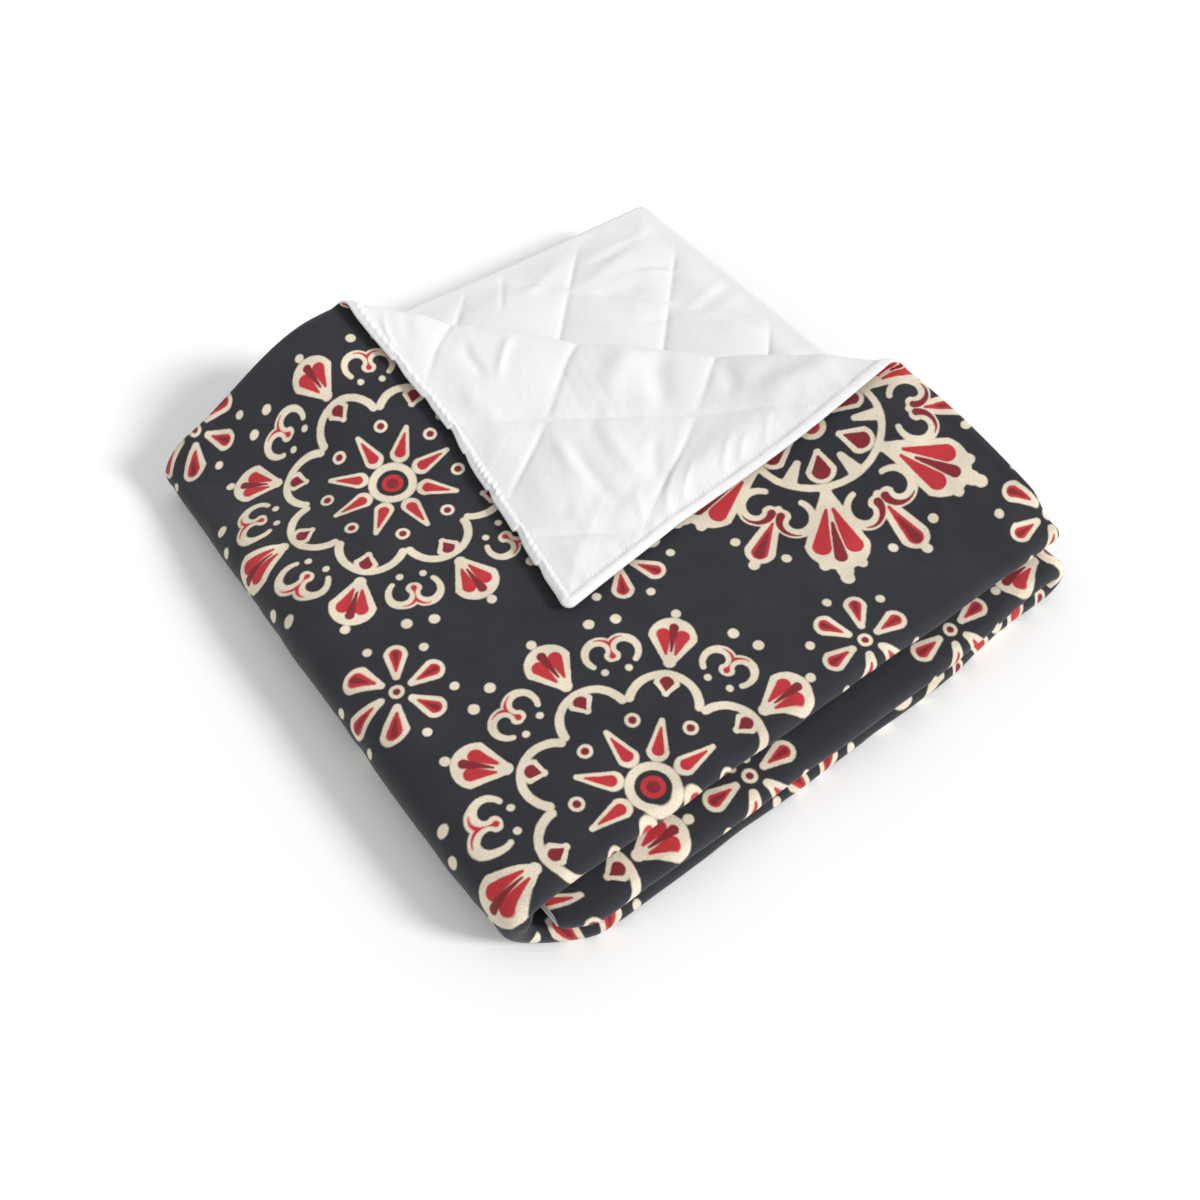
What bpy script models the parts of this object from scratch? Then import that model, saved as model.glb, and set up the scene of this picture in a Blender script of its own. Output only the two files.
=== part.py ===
"""A quilted throw, folded, with one corner of its top layer turned back.

The throw is folded in half, white side in, and then in thirds. Its top third is wrapped
round the near left side to the floor, comes back along the floor to the far right side,
and is tucked in between the other two. Both cloths are worked out from the flat throw:
a flat mesh is cut along its folds and its quilting, and each point is then carried to its
place in the folds. Metres, +Z up, with the origin under the middle of the pack.
"""

import math

import bmesh
import bpy
import numpy as np

# The throw laid out flat. Along it runs s, across it runs u, both from the turned corner.
THROW_LENGTH = 1.524
THROW_WIDTH = 1.016

# Quilting: stitched lines at 45 degrees to the edges, and their place from the corner
DIAMOND = 0.127
QUARTER = DIAMOND / 4
HEM = 0.00625
STITCH_PLACE = DIAMOND / 2

# Thickness, from the middle of the cloth outwards to the print and inwards to the white
PRINT_SIDE = 0.0026
PRINT_PUFF = 0.0010
WHITE_SIDE = 0.0014
WHITE_PUFF = 0.0026
HEM_SIDE = 0.0004
PRINT_THICKNESS = 0.0015
CLOTH_GAP = 0.0003
PUFF_ROUNDNESS = 0.6
PUFF_FADE = 0.035
FOLD_SQUEEZE = 0.8
FOLD_SQUEEZE_FADE = 0.04

# Folding: layers lie LAYER apart, and two layers make one half-folded pair
LAYER = 0.0108
LEG = LAYER / 2
PAIR = 2 * LAYER
FLOOR_PAIR = PRINT_SIDE + LEG
FOLD_Y = 0.004
TOP_END_X = 0.503
WRAP_X = 0.0165
BEND_X = 0.489
TUCK_END_X = 0.020
WRAP_STEPS = 8
BEND_STEPS = 6
HALF_FOLD_STEPS = 5
ROUND_CLEAR = 0.008

# The thirds and their folds along s: flat length, where the hems of the outer and of the
# inner layer lie across the pack, and how many steps a round fold takes
FOLD_COLUMNS = ("name", "flat", "outer_hem_y", "inner_hem_y", "steps")
FOLD_ROWS = (
    ("top", 0.4916, 0.506, 0.510, 0),
    ("wrap", math.pi * PAIR, 0.502, 0.500, WRAP_STEPS),
    ("floor", 0.4685, 0.498, 0.494, 0),
    ("bend", math.pi * LAYER, 0.494, 0.492, BEND_STEPS),
    ("tuck", 0.4621, 0.497, 0.490, 0),
)
FOLDS = [dict(zip(FOLD_COLUMNS, row)) for row in FOLD_ROWS]

# The fold in half across u: the outer layer, the round fold and the inner layer
OUTER_FLAT = 0.511
HALF_FOLD_FLAT = math.pi * LEG
INNER_FLAT = THROW_WIDTH - OUTER_FLAT - HALF_FOLD_FLAT

# The turned corner: its crease crosses the top layer where x + y is CREASE_SUM
CREASE_SUM = 0.668
CREASE_RADIUS = 0.006
CREASE_HALF = 0.2277
CREASE_STEPS = 6
CREASE_FLAT_SUM = 2 * HEM + STITCH_PLACE + 2 * DIAMOND
FLAP_STRETCH = 1.13
FLAP_NARROWS = 0.15
FLAP_SHIFT = 0.006
FLAP_NARROWS_BY = 0.16
FLAP_REST = 0.010
FLAP_SETTLES = 0.08
LIFT_MIDDLE = 0.012
LIFT_ENDS = 0.035
LIFT_REACH = 0.15
LIFT_SHARPNESS = 0.75
LIFT_FROM_FOLD = 0.03
LIFT_PAST_EDGE = 0.045
UNDER_LIFT = 0.009
UNDER_LIFT_ALONG = 0.15
UNDER_LIFT_FADE = 0.2

# Unevenness of the whole pack
FAR_CORNER_SINK = 0.36
FAR_CORNER_X = 0.15
FAR_CORNER_Y = 0.28
FAR_CORNER_LENGTH = 0.22
FAR_CORNER_PULL = 0.014
NEAR_CORNER_Y = 0.06
NEAR_CORNER_SLOPE = 0.08
NEAR_CORNER_FADE = 0.12
LOWER_FOLDS_OUT = 0.025
LOWER_FOLDS_BACK = 0.008
LOWER_FOLDS_BACK_X = 0.34
LOWER_FOLDS_BACK_LENGTH = 0.14
LOWER_FOLDS_TOP = 0.0440
LOWER_FOLDS_BAND = 0.0055
LOWER_FOLDS_FADE = 0.16
LOWER_FOLDS_START = -0.012
LOWER_FOLDS_RISE = 0.06
SWELL = 0.02
SWELL_X = 0.23
SWELL_Y = 0.31

DIFFERENCE = 0.0002
SNAP = 1e-6

# Name, colour (linear RGB) and roughness of each cloth
PRINTED = ("printed_face", (0.035, 0.038, 0.045, 1.0), 0.85)
BACKING = ("white_backing", (0.88, 0.88, 0.88, 1.0), 0.8)


def smooth(value):
    """Rise smoothly from 0 to 1 as value goes from 0 to 1."""
    value = np.clip(value, 0.0, 1.0)
    return value * value * (3.0 - 2.0 * value)


def blend(start, end, amount):
    return start + (end - start) * amount


def fold_starts():
    """Where each third and fold begins along s, with the end of the last."""
    return np.cumsum([0.0] + [fold["flat"] for fold in FOLDS])


def pair_path(s):
    """Middle of the half-folded pair along s: x, z and the outward normal in x and z."""
    starts = fold_starts()
    share = [np.clip((s - start) / fold["flat"], 0.0, 1.0) for start, fold in zip(starts, FOLDS)]
    section = np.clip(np.searchsorted(starts, s, side="right") - 1, 0, len(FOLDS) - 1)
    low, middle, high = FLOOR_PAIR, FLOOR_PAIR + PAIR, FLOOR_PAIR + 2 * PAIR
    wrap = math.pi * share[1]
    bend = math.pi * share[3]
    x = np.choose(section, [
        blend(TOP_END_X, WRAP_X, share[0]),
        WRAP_X - PAIR * np.sin(wrap),
        blend(WRAP_X, BEND_X, share[2]),
        BEND_X + LAYER * np.sin(bend),
        blend(BEND_X, TUCK_END_X, share[4]),
    ])
    z = np.choose(section, [
        np.full_like(s, high),
        middle + PAIR * np.cos(wrap),
        np.full_like(s, low),
        low + LAYER * (1.0 - np.cos(bend)),
        np.full_like(s, middle),
    ])
    turn = math.pi + wrap + bend
    return x, z, np.sin(turn), -np.cos(turn)


def hem_lines(s):
    """Where the two hems lie across the pack, eased from one third to the next."""
    starts = fold_starts()
    middles = (starts[:-1] + starts[1:]) / 2
    outer = np.interp(s, middles, [fold["outer_hem_y"] for fold in FOLDS])
    inner = np.interp(s, middles, [fold["inner_hem_y"] for fold in FOLDS])
    return outer, inner


def half_fold(s, u):
    """Across the pair: y, and how far the cloth lies outside the pair's middle."""
    outer_hem, inner_hem = hem_lines(s)
    turn = math.pi * np.clip((u - OUTER_FLAT) / HALF_FOLD_FLAT, 0.0, 1.0)
    outer_share = np.clip((OUTER_FLAT - u) / OUTER_FLAT, 0.0, 1.0)
    inner_share = np.clip((u - OUTER_FLAT - HALF_FOLD_FLAT) / INNER_FLAT, 0.0, 1.0)
    reach = (outer_hem - FOLD_Y) * outer_share + (inner_hem - FOLD_Y) * inner_share
    return FOLD_Y + reach - LEG * np.sin(turn), LEG * np.cos(turn)


def far_corner(x, y):
    """Nearness to the far left corner of the pack, where its layers end and sink."""
    return smooth((FAR_CORNER_X - x) / FAR_CORNER_X) * smooth((y - FAR_CORNER_Y) / FAR_CORNER_LENGTH)


def press(x, y):
    """How much of its height the pack keeps at a place seen from above."""
    swell = np.sin(2 * math.pi * x / SWELL_X) * np.cos(2 * math.pi * y / SWELL_Y)
    return 1.0 - FAR_CORNER_SINK * far_corner(x, y) + SWELL * swell


def settle(x, y, z):
    """Bend the straight pack into the uneven one, layer over layer."""
    low = smooth((LOWER_FOLDS_TOP - z) / LOWER_FOLDS_BAND)
    along = smooth((x - LOWER_FOLDS_START) / LOWER_FOLDS_RISE)
    out = LOWER_FOLDS_OUT - LOWER_FOLDS_BACK * smooth((x - LOWER_FOLDS_BACK_X) / LOWER_FOLDS_BACK_LENGTH)
    near = NEAR_CORNER_SLOPE * np.maximum(NEAR_CORNER_Y - y, 0.0)
    new_x = x + near * np.clip(1.0 - x / NEAR_CORNER_FADE, 0.0, 1.1)
    new_y = y - out * low * along * smooth(1.0 - y / LOWER_FOLDS_FADE)
    new_y = new_y - FAR_CORNER_PULL * far_corner(x, y)
    return new_x, new_y, z * press(x, y)


def crease_place(x, y):
    """Distance past the crease towards the corner, and along it from its middle."""
    return (x + y - CREASE_SUM) / math.sqrt(2), (x - y) / math.sqrt(2)


def lift(x, y):
    """How high the top layer is drawn up towards the crease."""
    past, along = crease_place(x, y)
    height = blend(LIFT_MIDDLE, LIFT_ENDS, np.clip(np.abs(along) / CREASE_HALF, 0.0, 1.0) ** 2)
    near = np.clip(1.0 + past / LIFT_REACH, 0.0, 1.0) ** LIFT_SHARPNESS
    return height * smooth(near) * smooth((y - FOLD_Y) / LIFT_FROM_FOLD)


def lift_under(x, y):
    """How high the layer under it follows, on the left behind the crease."""
    past, along = crease_place(x, y)
    near = np.clip(1.0 + past / LIFT_REACH, 0.0, 1.0) * smooth(1.0 - past / UNDER_LIFT_FADE)
    return UNDER_LIFT * near * smooth(-along / UNDER_LIFT_ALONG) * smooth((y - FOLD_Y) / LIFT_FROM_FOLD)


def top_layer(x, y):
    """The top layer's middle before its corner is turned back, from its place in the plan."""
    new_x, new_y, new_z = settle(x, y, np.full_like(x, FLOOR_PAIR + 2 * PAIR + LEG))
    return np.stack([new_x, new_y, new_z + lift(x, y)], axis=-1)


def unit(vectors):
    return vectors / np.linalg.norm(vectors, axis=-1, keepdims=True)


def turned_corner(x, y):
    """The part of the top layer past the crease, rolled over and laid back on the rest."""
    past, along = crease_place(x, y)
    roll = np.clip(past / CREASE_RADIUS, 0.0, math.pi)
    back = -FLAP_STRETCH * np.maximum(past - math.pi * CREASE_RADIUS, 0.0)
    laid = smooth(-back / FLAP_NARROWS_BY)
    along = along * (1.0 - FLAP_NARROWS * laid) + FLAP_SHIFT * 4.0 * laid * (1.0 - laid)
    foot_sum = CREASE_SUM + math.sqrt(2) * back
    foot_x = (foot_sum + math.sqrt(2) * along) / 2
    foot_y = (foot_sum - math.sqrt(2) * along) / 2
    foot = top_layer(foot_x, foot_y)
    to_x = top_layer(foot_x + DIFFERENCE, foot_y) - foot
    to_y = top_layer(foot_x, foot_y + DIFFERENCE) - foot
    up = unit(np.cross(to_x, to_y))
    forward = unit(to_x + to_y)
    height = blend(2 * CREASE_RADIUS, FLAP_REST, smooth(-back / FLAP_SETTLES))
    rise = height * (1.0 - np.cos(roll)) / 2
    ahead = CREASE_RADIUS * np.sin(roll)
    return foot + up * rise[:, None] + forward * ahead[:, None]


def cloth_middle(s, u):
    """Place of the middle of the cloth for each flat point."""
    path_x, path_z, normal_x, normal_z = pair_path(s)
    y, out = half_fold(s, u)
    x = path_x + out * normal_x
    z = path_z + out * normal_z
    places = np.stack(settle(x, y, z), axis=-1)
    top_flat = FOLDS[0]["flat"]
    unrolled = x - np.maximum(s - top_flat, 0.0)
    eased = 1.0 - smooth((s - top_flat) / LIFT_PAST_EDGE)
    raised = np.where(u < OUTER_FLAT, lift(unrolled, y), lift_under(unrolled, y)) * eased
    places[:, 0] += raised * normal_x
    places[:, 2] += raised * normal_z
    past, along = crease_place(x, y)
    turned = (s < top_flat) & (u < OUTER_FLAT) & (past > 0.0)
    places[turned] = turned_corner(x[turned], y[turned])
    return places


def cloth_normals(s, u):
    """Direction from the white side to the printed side at each flat point."""
    along = cloth_middle(s + DIFFERENCE, u) - cloth_middle(s - DIFFERENCE, u)
    across = cloth_middle(s, u + DIFFERENCE) - cloth_middle(s, u - DIFFERENCE)
    return unit(np.cross(along, across))


def to_hem(s, u):
    """Flat distance to the nearest hem."""
    return np.minimum(np.minimum(s, THROW_LENGTH - s), np.minimum(u, THROW_WIDTH - u))


def puff(s, u):
    """Height of the quilting: 0 on the stitched lines and at the hems, 1 amid a diamond."""
    first = np.abs(np.sin(math.pi * (s + u - 2 * HEM - STITCH_PLACE) / DIAMOND))
    second = np.abs(np.sin(math.pi * (u - s - STITCH_PLACE) / DIAMOND))
    return (first * second) ** PUFF_ROUNDNESS * smooth((to_hem(s, u) - HEM) / PUFF_FADE)


def side_heights(s, u):
    """How far the printed and the white surface lie from the cloth's middle."""
    starts = fold_starts()
    path_x, path_z, normal_x, normal_z = pair_path(s)
    y, out = half_fold(s, u)
    kept = press(path_x + out * normal_x, y)
    relief = puff(s, u)
    on_floor = (s > starts[2] - SNAP) & (s < starts[3] + SNAP) & (u < OUTER_FLAT + SNAP)
    at_hem = HEM_SIDE * (to_hem(s, u) < SNAP)
    printed = (PRINT_SIDE + PRINT_PUFF * relief * ~on_floor) * kept
    from_fold = np.abs(u - OUTER_FLAT - HALF_FOLD_FLAT / 2) - HALF_FOLD_FLAT / 2
    squeezed = 1.0 - FOLD_SQUEEZE * smooth(1.0 - from_fold / FOLD_SQUEEZE_FADE)
    white = (WHITE_SIDE + WHITE_PUFF * relief * squeezed) * kept - at_hem
    return printed, white, on_floor


def even_lines(first, last):
    """Every second quilting line from one flat place to another."""
    count = int((last - HEM) / (2 * QUARTER)) + 1
    lines = [HEM + 2 * QUARTER * index for index in range(count)]
    return [line for line in lines if first - SNAP <= line <= last + SNAP]


def odd_lines(first, last):
    return [line + QUARTER for line in even_lines(first - QUARTER, last - QUARTER)]


def round_lines(start, length, steps):
    return [start + length * step / steps for step in range(steps + 1)]


def lines_along():
    """Flat lines across the throw: hems, quilting and the steps of the round folds."""
    starts = fold_starts()
    lines = [0.0, THROW_LENGTH - HEM, THROW_LENGTH]
    for fold, start in zip(FOLDS, starts):
        if fold["steps"]:
            lines += round_lines(start, fold["flat"], fold["steps"])
        else:
            lines += even_lines(start + ROUND_CLEAR * (start > 0.0), start + fold["flat"] - ROUND_CLEAR)
    return sorted(lines)


def lines_across():
    """Flat lines along the throw: hems, quilting and the steps of the fold in half."""
    inner_start = OUTER_FLAT + HALF_FOLD_FLAT
    lines = [0.0, THROW_WIDTH - HEM, THROW_WIDTH]
    lines += even_lines(0.0, OUTER_FLAT - HEM)
    lines += round_lines(OUTER_FLAT, HALF_FOLD_FLAT, HALF_FOLD_STEPS)
    lines += even_lines(inner_start + HEM, THROW_WIDTH - 2 * HEM)
    return sorted(lines)


def faces_between(bm, low, high):
    """Faces of the flat mesh whose middle lies in a rectangle, with their edges and points."""
    faces = []
    for face in bm.faces:
        middle = face.calc_center_median()
        if low[0] < middle.x < high[0] and low[1] < middle.y < high[1]:
            faces.append(face)
    edges = {edge for face in faces for edge in face.edges}
    verts = {vert for face in faces for vert in face.verts}
    return faces + list(edges) + list(verts)


def cut(bm, low, high, point, direction):
    """Cut the flat mesh along a line inside a rectangle."""
    geometry = faces_between(bm, low, high)
    bmesh.ops.bisect_plane(bm, geom=geometry, dist=SNAP, plane_co=(*point, 0.0), plane_no=(*direction, 0.0))


def cut_quilting(bm, low, high):
    """Cut the flat mesh along the stitched lines inside a rectangle."""
    count = int((THROW_LENGTH + THROW_WIDTH) / DIAMOND) + 1
    for index in range(-count, count):
        cut(bm, low, high, (2 * HEM + STITCH_PLACE + index * DIAMOND, 0.0), (1.0, 1.0))
        cut(bm, low, high, (-STITCH_PLACE - index * DIAMOND, 0.0), (1.0, -1.0))


def flat_throw():
    """The flat throw as triangles, cut along its folds, its quilting and the crease."""
    along, across = lines_along(), lines_across()
    bm = bmesh.new()
    grid = [[bm.verts.new((s, u, 0.0)) for u in across] for s in along]
    for row, next_row in zip(grid, grid[1:]):
        for index in range(len(across) - 1):
            bm.faces.new((row[index], next_row[index], next_row[index + 1], row[index + 1]))
    starts = fold_starts()
    inner_start = OUTER_FLAT + HALF_FOLD_FLAT
    for seen in ((0.0, OUTER_FLAT), (inner_start + DIAMOND, THROW_WIDTH)):
        low, high = (0.0, seen[0]), (starts[1], seen[1])
        for line in odd_lines(0.0, starts[1]):
            cut(bm, low, high, (line, 0.0), (1.0, 0.0))
        for line in odd_lines(*seen):
            cut(bm, low, high, (0.0, line), (0.0, 1.0))
    for start, fold in zip(starts, FOLDS):
        if not fold["steps"]:
            cut_quilting(bm, (start, 0.0), (start + fold["flat"], OUTER_FLAT))
            cut_quilting(bm, (start, inner_start), (start + fold["flat"], THROW_WIDTH))
    roll = math.pi * CREASE_RADIUS * math.sqrt(2)
    for line in round_lines(CREASE_FLAT_SUM - roll / 2, roll, CREASE_STEPS):
        cut(bm, (0.0, 0.0), (starts[1], OUTER_FLAT), (line, 0.0), (1.0, 1.0))
    bmesh.ops.triangulate(bm, faces=bm.faces[:], quad_method="BEAUTY")
    bm.verts.index_update()
    return bm


def closed_sheet(name, flat, outer, inner):
    """One closed solid between two sides that share the flat throw's triangles."""
    count = len(outer)
    faces = []
    for face in flat.faces:
        corners = [vert.index for vert in face.verts]
        faces.append(corners)
        faces.append([corner + count for corner in reversed(corners)])
    for edge in flat.edges:
        if edge.is_boundary:
            loop = edge.link_loops[0]
            start, end = loop.vert.index, loop.link_loop_next.vert.index
            faces.append((end, start, start + count))
            faces.append((end, start + count, end + count))
    mesh = bpy.data.meshes.new(name)
    mesh.from_pydata(np.concatenate([outer, inner]).tolist(), [], faces)
    mesh.shade_smooth()
    mesh.set_sharp_from_angle(angle=math.radians(60))
    thing = bpy.data.objects.new(name, mesh)
    bpy.context.scene.collection.objects.link(thing)
    return thing


def cloth_material(name, colour, roughness):
    material = bpy.data.materials.new(name)
    material.use_nodes = True
    shader = material.node_tree.nodes["Principled BSDF"]
    shader.inputs["Base Color"].default_value = colour
    shader.inputs["Roughness"].default_value = roughness
    shader.inputs["Metallic"].default_value = 0.0
    return material


def to_pack_middle(sides):
    """Move every side so that the origin lies under the middle of the pack's box."""
    every = np.concatenate(sides)
    low, high = every.min(axis=0), every.max(axis=0)
    middle = np.array([(low[0] + high[0]) / 2, (low[1] + high[1]) / 2, low[2]])
    return [side - middle for side in sides]


def main():
    for thing in list(bpy.data.objects):
        bpy.data.objects.remove(thing)
    flat = flat_throw()
    s = np.array([vert.co.x for vert in flat.verts])
    u = np.array([vert.co.y for vert in flat.verts])
    middle, normals = cloth_middle(s, u), cloth_normals(s, u)
    printed, white, on_floor = side_heights(s, u)
    levels = (printed, printed - PRINT_THICKNESS, printed - PRINT_THICKNESS - CLOTH_GAP, -white)
    sides = [middle + normals * level[:, None] for level in levels]
    sides[0][on_floor, 2] = 0.0
    sides = to_pack_middle(sides)
    for (name, colour, roughness), pair in ((PRINTED, sides[:2]), (BACKING, sides[2:])):
        thing = closed_sheet(name, flat, *pair)
        thing.data.materials.append(cloth_material(name, colour, roughness))
    flat.free()


main()
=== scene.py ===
"""Looks of a folded quilted throw: a printed face outside and a white backing on its turned corner.

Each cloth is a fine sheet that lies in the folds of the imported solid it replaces. It is worked
out from the flat throw: s runs along it and u across it, both from the turned corner. A flat
grid is halved until its cells are small enough to carry the quilting, the hems and the creases,
and each point is then carried to its place in the folds. Metres, +Z up.
"""

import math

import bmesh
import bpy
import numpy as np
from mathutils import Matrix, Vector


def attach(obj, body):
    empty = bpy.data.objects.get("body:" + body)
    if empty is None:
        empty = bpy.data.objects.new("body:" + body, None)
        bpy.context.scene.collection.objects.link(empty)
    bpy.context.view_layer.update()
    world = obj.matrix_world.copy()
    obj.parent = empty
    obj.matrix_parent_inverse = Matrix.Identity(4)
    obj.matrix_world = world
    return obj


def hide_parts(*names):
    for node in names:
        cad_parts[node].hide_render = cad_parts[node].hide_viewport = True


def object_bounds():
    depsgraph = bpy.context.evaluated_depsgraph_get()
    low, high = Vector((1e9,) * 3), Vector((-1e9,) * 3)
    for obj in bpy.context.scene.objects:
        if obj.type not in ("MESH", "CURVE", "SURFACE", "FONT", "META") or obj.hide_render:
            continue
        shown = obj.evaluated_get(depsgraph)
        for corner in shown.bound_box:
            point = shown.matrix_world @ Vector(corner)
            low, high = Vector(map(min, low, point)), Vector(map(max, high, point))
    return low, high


bl_info = {
    "name": "Folded quilted throw",
    "version": (1, 0, 0),
    "blender": (4, 5, 0),
    "location": "3D View > Sidebar > Throw",
    "description": "Builds the cloths, the stitching and the studio of a folded quilted throw",
    "category": "Add Mesh",
}

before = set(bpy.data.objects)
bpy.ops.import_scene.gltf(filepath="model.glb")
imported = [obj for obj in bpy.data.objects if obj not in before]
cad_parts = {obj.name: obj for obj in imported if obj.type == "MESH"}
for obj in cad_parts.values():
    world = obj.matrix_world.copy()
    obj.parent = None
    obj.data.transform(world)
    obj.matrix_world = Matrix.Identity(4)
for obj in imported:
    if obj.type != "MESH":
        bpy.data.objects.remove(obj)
CAD_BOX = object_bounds()

BODY = "root"

# The throw laid out flat
THROW_LENGTH = 1.524
THROW_WIDTH = 1.016

# Quilting: stitched lines at 45 degrees to the edges, and their place from the corner
DIAMOND = 0.127
HEM = 0.00625
STITCH_PLACE = DIAMOND / 2

# Thickness, from the middle of the cloth outwards to the print and inwards to the white
PRINT_SIDE = 0.0026
WHITE_SIDE = 0.0014
PRINT_THICKNESS = 0.0015
CLOTH_GAP = 0.0003
PUFF_ROUNDNESS = 0.55
PUFF_FADE = 0.035
FOLD_SQUEEZE = 0.8
FOLD_SQUEEZE_FADE = 0.04

# Folding: layers lie LAYER apart, and two layers make one half-folded pair
LAYER = 0.0108
LEG = LAYER / 2
PAIR = 2 * LAYER
FLOOR_PAIR = PRINT_SIDE + LEG
FOLD_Y = 0.004
TOP_END_X = 0.503
WRAP_X = 0.0165
BEND_X = 0.489
TUCK_END_X = 0.020
WRAP_STEPS = 8
BEND_STEPS = 6
HALF_FOLD_STEPS = 6

# The thirds and their folds along s: flat length, where the hems of the outer and of the
# inner layer lie across the pack, and how many steps a round fold takes
FOLD_COLUMNS = ("name", "flat", "outer_hem_y", "inner_hem_y", "steps")
FOLD_ROWS = (
    ("top", 0.4916, 0.506, 0.510, 0),
    ("wrap", math.pi * PAIR, 0.502, 0.500, WRAP_STEPS),
    ("floor", 0.4685, 0.498, 0.494, 0),
    ("bend", math.pi * LAYER, 0.494, 0.492, BEND_STEPS),
    ("tuck", 0.4621, 0.497, 0.490, 0),
)
FOLDS = [dict(zip(FOLD_COLUMNS, row)) for row in FOLD_ROWS]
TOP_FLAT = FOLDS[0]["flat"]

# The fold in half across u: the outer layer, the round fold and the inner layer
OUTER_FLAT = 0.511
HALF_FOLD_FLAT = math.pi * LEG
INNER_START = OUTER_FLAT + HALF_FOLD_FLAT
INNER_FLAT = THROW_WIDTH - INNER_START

# The turned corner: its crease crosses the top layer where x + y is CREASE_SUM, the flap past it
# is stretched, narrowed and shifted, and the top layer and the one under it rise towards it
CREASE_SUM = 0.668
CREASE_RADIUS = 0.006
CREASE_HALF = 0.2277
CREASE_FLAT_SUM = 2 * HEM + STITCH_PLACE + 2 * DIAMOND
FLAP_STRETCH = 1.13
FLAP_NARROWS = 0.15
FLAP_SHIFT = 0.006
FLAP_NARROWS_BY = 0.16
FLAP_REST = 0.010
FLAP_SETTLES = 0.08
LIFT_MIDDLE = 0.012
LIFT_ENDS = 0.035
LIFT_REACH = 0.15
LIFT_SHARPNESS = 0.75
LIFT_FROM_FOLD = 0.03
LIFT_PAST_EDGE = 0.045
UNDER_LIFT = 0.009
UNDER_LIFT_ALONG = 0.15
UNDER_LIFT_FADE = 0.2

# Unevenness of the whole pack: the sunk far left corner, the slanted near left one, the lower
# folds that stand out at the near side, and a slow swell
FAR_CORNER_SINK = 0.36
FAR_CORNER_X = 0.15
FAR_CORNER_Y = 0.28
FAR_CORNER_LENGTH = 0.22
FAR_CORNER_PULL = 0.014
NEAR_CORNER_Y = 0.06
NEAR_CORNER_SLOPE = 0.08
NEAR_CORNER_FADE = 0.12
NEAR_CORNER_MOST = 1.1
LOWER_FOLDS_OUT = 0.025
LOWER_FOLDS_BACK = 0.008
LOWER_FOLDS_BACK_X = 0.34
LOWER_FOLDS_BACK_LENGTH = 0.14
LOWER_FOLDS_TOP = 0.0440
LOWER_FOLDS_BAND = 0.0055
LOWER_FOLDS_FADE = 0.16
LOWER_FOLDS_START = -0.012
LOWER_FOLDS_RISE = 0.06
SWELL = 0.02
SWELL_X = 0.23
SWELL_Y = 0.31

# The quilting of the turned corner is drawn askew: the shares of s, u, 1 and s squared in both
# families of lines there
FLAP_FIRST = (1.0, 0.745, 0.0, 0.0)
FLAP_SECOND = (-0.71, 0.545, 0.022, -0.94)
FLAP_FADE = 0.12

# Where the white side lies open behind the turned corner, and how much quilting the rest keeps
OPEN_BEHIND = 0.60
OPEN_FADE = 0.05
PRESSED_PUFF = 0.5

# The stitched lines of the quilting, drawn in
SEAM_DEPTH = 0.0004
SEAM_WIDTH = 0.0026

# Hems: a soft flat roll at the very edge, then a stitched groove, both weaker on the print
HEM_STITCH = 0.0085
HEM_CREST = 0.0045
HEM_GROOVE = 0.0002
HEM_GROOVE_WIDTH = 0.0016
PRINT_HEM_ROLL = 0.5
PRINT_HEM_GROOVE = 0.6
EDGE_ROUND = 0.0016
EDGE_MIDDLE = 0.0006
EDGE_HALF = 0.0018
EDGE_ROWS = 3
EDGE_THINS_BY = 0.003
EDGE_THINS = 0.0004
CORNER_ROUND = 0.008

# Puckers beside the quilting, long wrinkles, the ropy long hem of the turned corner, the notches
# of its rim, and the puckers beside its short hem
PUCKER_PITCH = 0.011
PUCKER_REACH = 0.011
PUCKER_START = 0.003
PRINT_PUCKERS = 0.5
WHITE_PUCKERS = 0.6
WRINKLE_LENGTH = 0.085
WRINKLE_WIDTH = 0.015
WRINKLE_ANGLES = (62.0, 17.0)
WRINKLE_SWAY = 0.012
WRINKLE_FADE = 0.02
ROPE_PITCH = 0.0070
ROPE_SLANT = -0.2
ROPE_DRIFT = 0.7
ROPE_DRIFT_LENGTH = 0.034
ROPE_UNEVEN_LENGTH = 0.021
ROPE_MIDDLE = 0.55
ROPE_LEAST = 0.1
ROPE_START = 0.0005
ROPE_END = 0.0105
ROPE_RISE = 0.0035
ROPE_STRAYS = 0.0014
ROPE_LENGTH = 0.34
ROPE_FADE = 0.03
ROPE_NEAR = 0.1
ROPE_FAR = 0.55
RIM_WAVE = 0.0014
RIM_WAVE_PITCH = 0.017
RIM_WAVE_DEPTH = 0.010
RIM_NOTCH_STEEP = 8.0
RIM_NOTCH_COLUMNS = ("s", "depth", "length")
RIM_NOTCHES = (
    (0.046, 0.0020, 0.014),
    (0.083, 0.0030, 0.018),
    (0.131, 0.0020, 0.012),
    (0.172, 0.0012, 0.010),
    (0.196, 0.0024, 0.016),
    (0.228, 0.0014, 0.011),
    (0.262, 0.0020, 0.013),
)
HEM_PUCKER_PITCH = 0.009
HEM_PUCKER_LENGTH = 0.022
HEM_PUCKER_CHANGE = 0.06

# Seeded noise: the size of its table, and a seed for each thing it roughens
NOISE_TABLE = 97
PRINT_WRINKLE_SEED = 11
PRINT_PUCKER_SEED = 12
WHITE_WRINKLE_SEED = 21
WHITE_PUCKER_SEED = 22
WRINKLE_SWAY_SEED = 50
ROPE_DRIFT_SEED = 31
ROPE_HEIGHT_SEED = 32
ROPE_END_SEED = 34
RIM_WAVE_SEED = 33
HEM_PUCKER_SEED = 41
STITCH_SEED = 5

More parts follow.
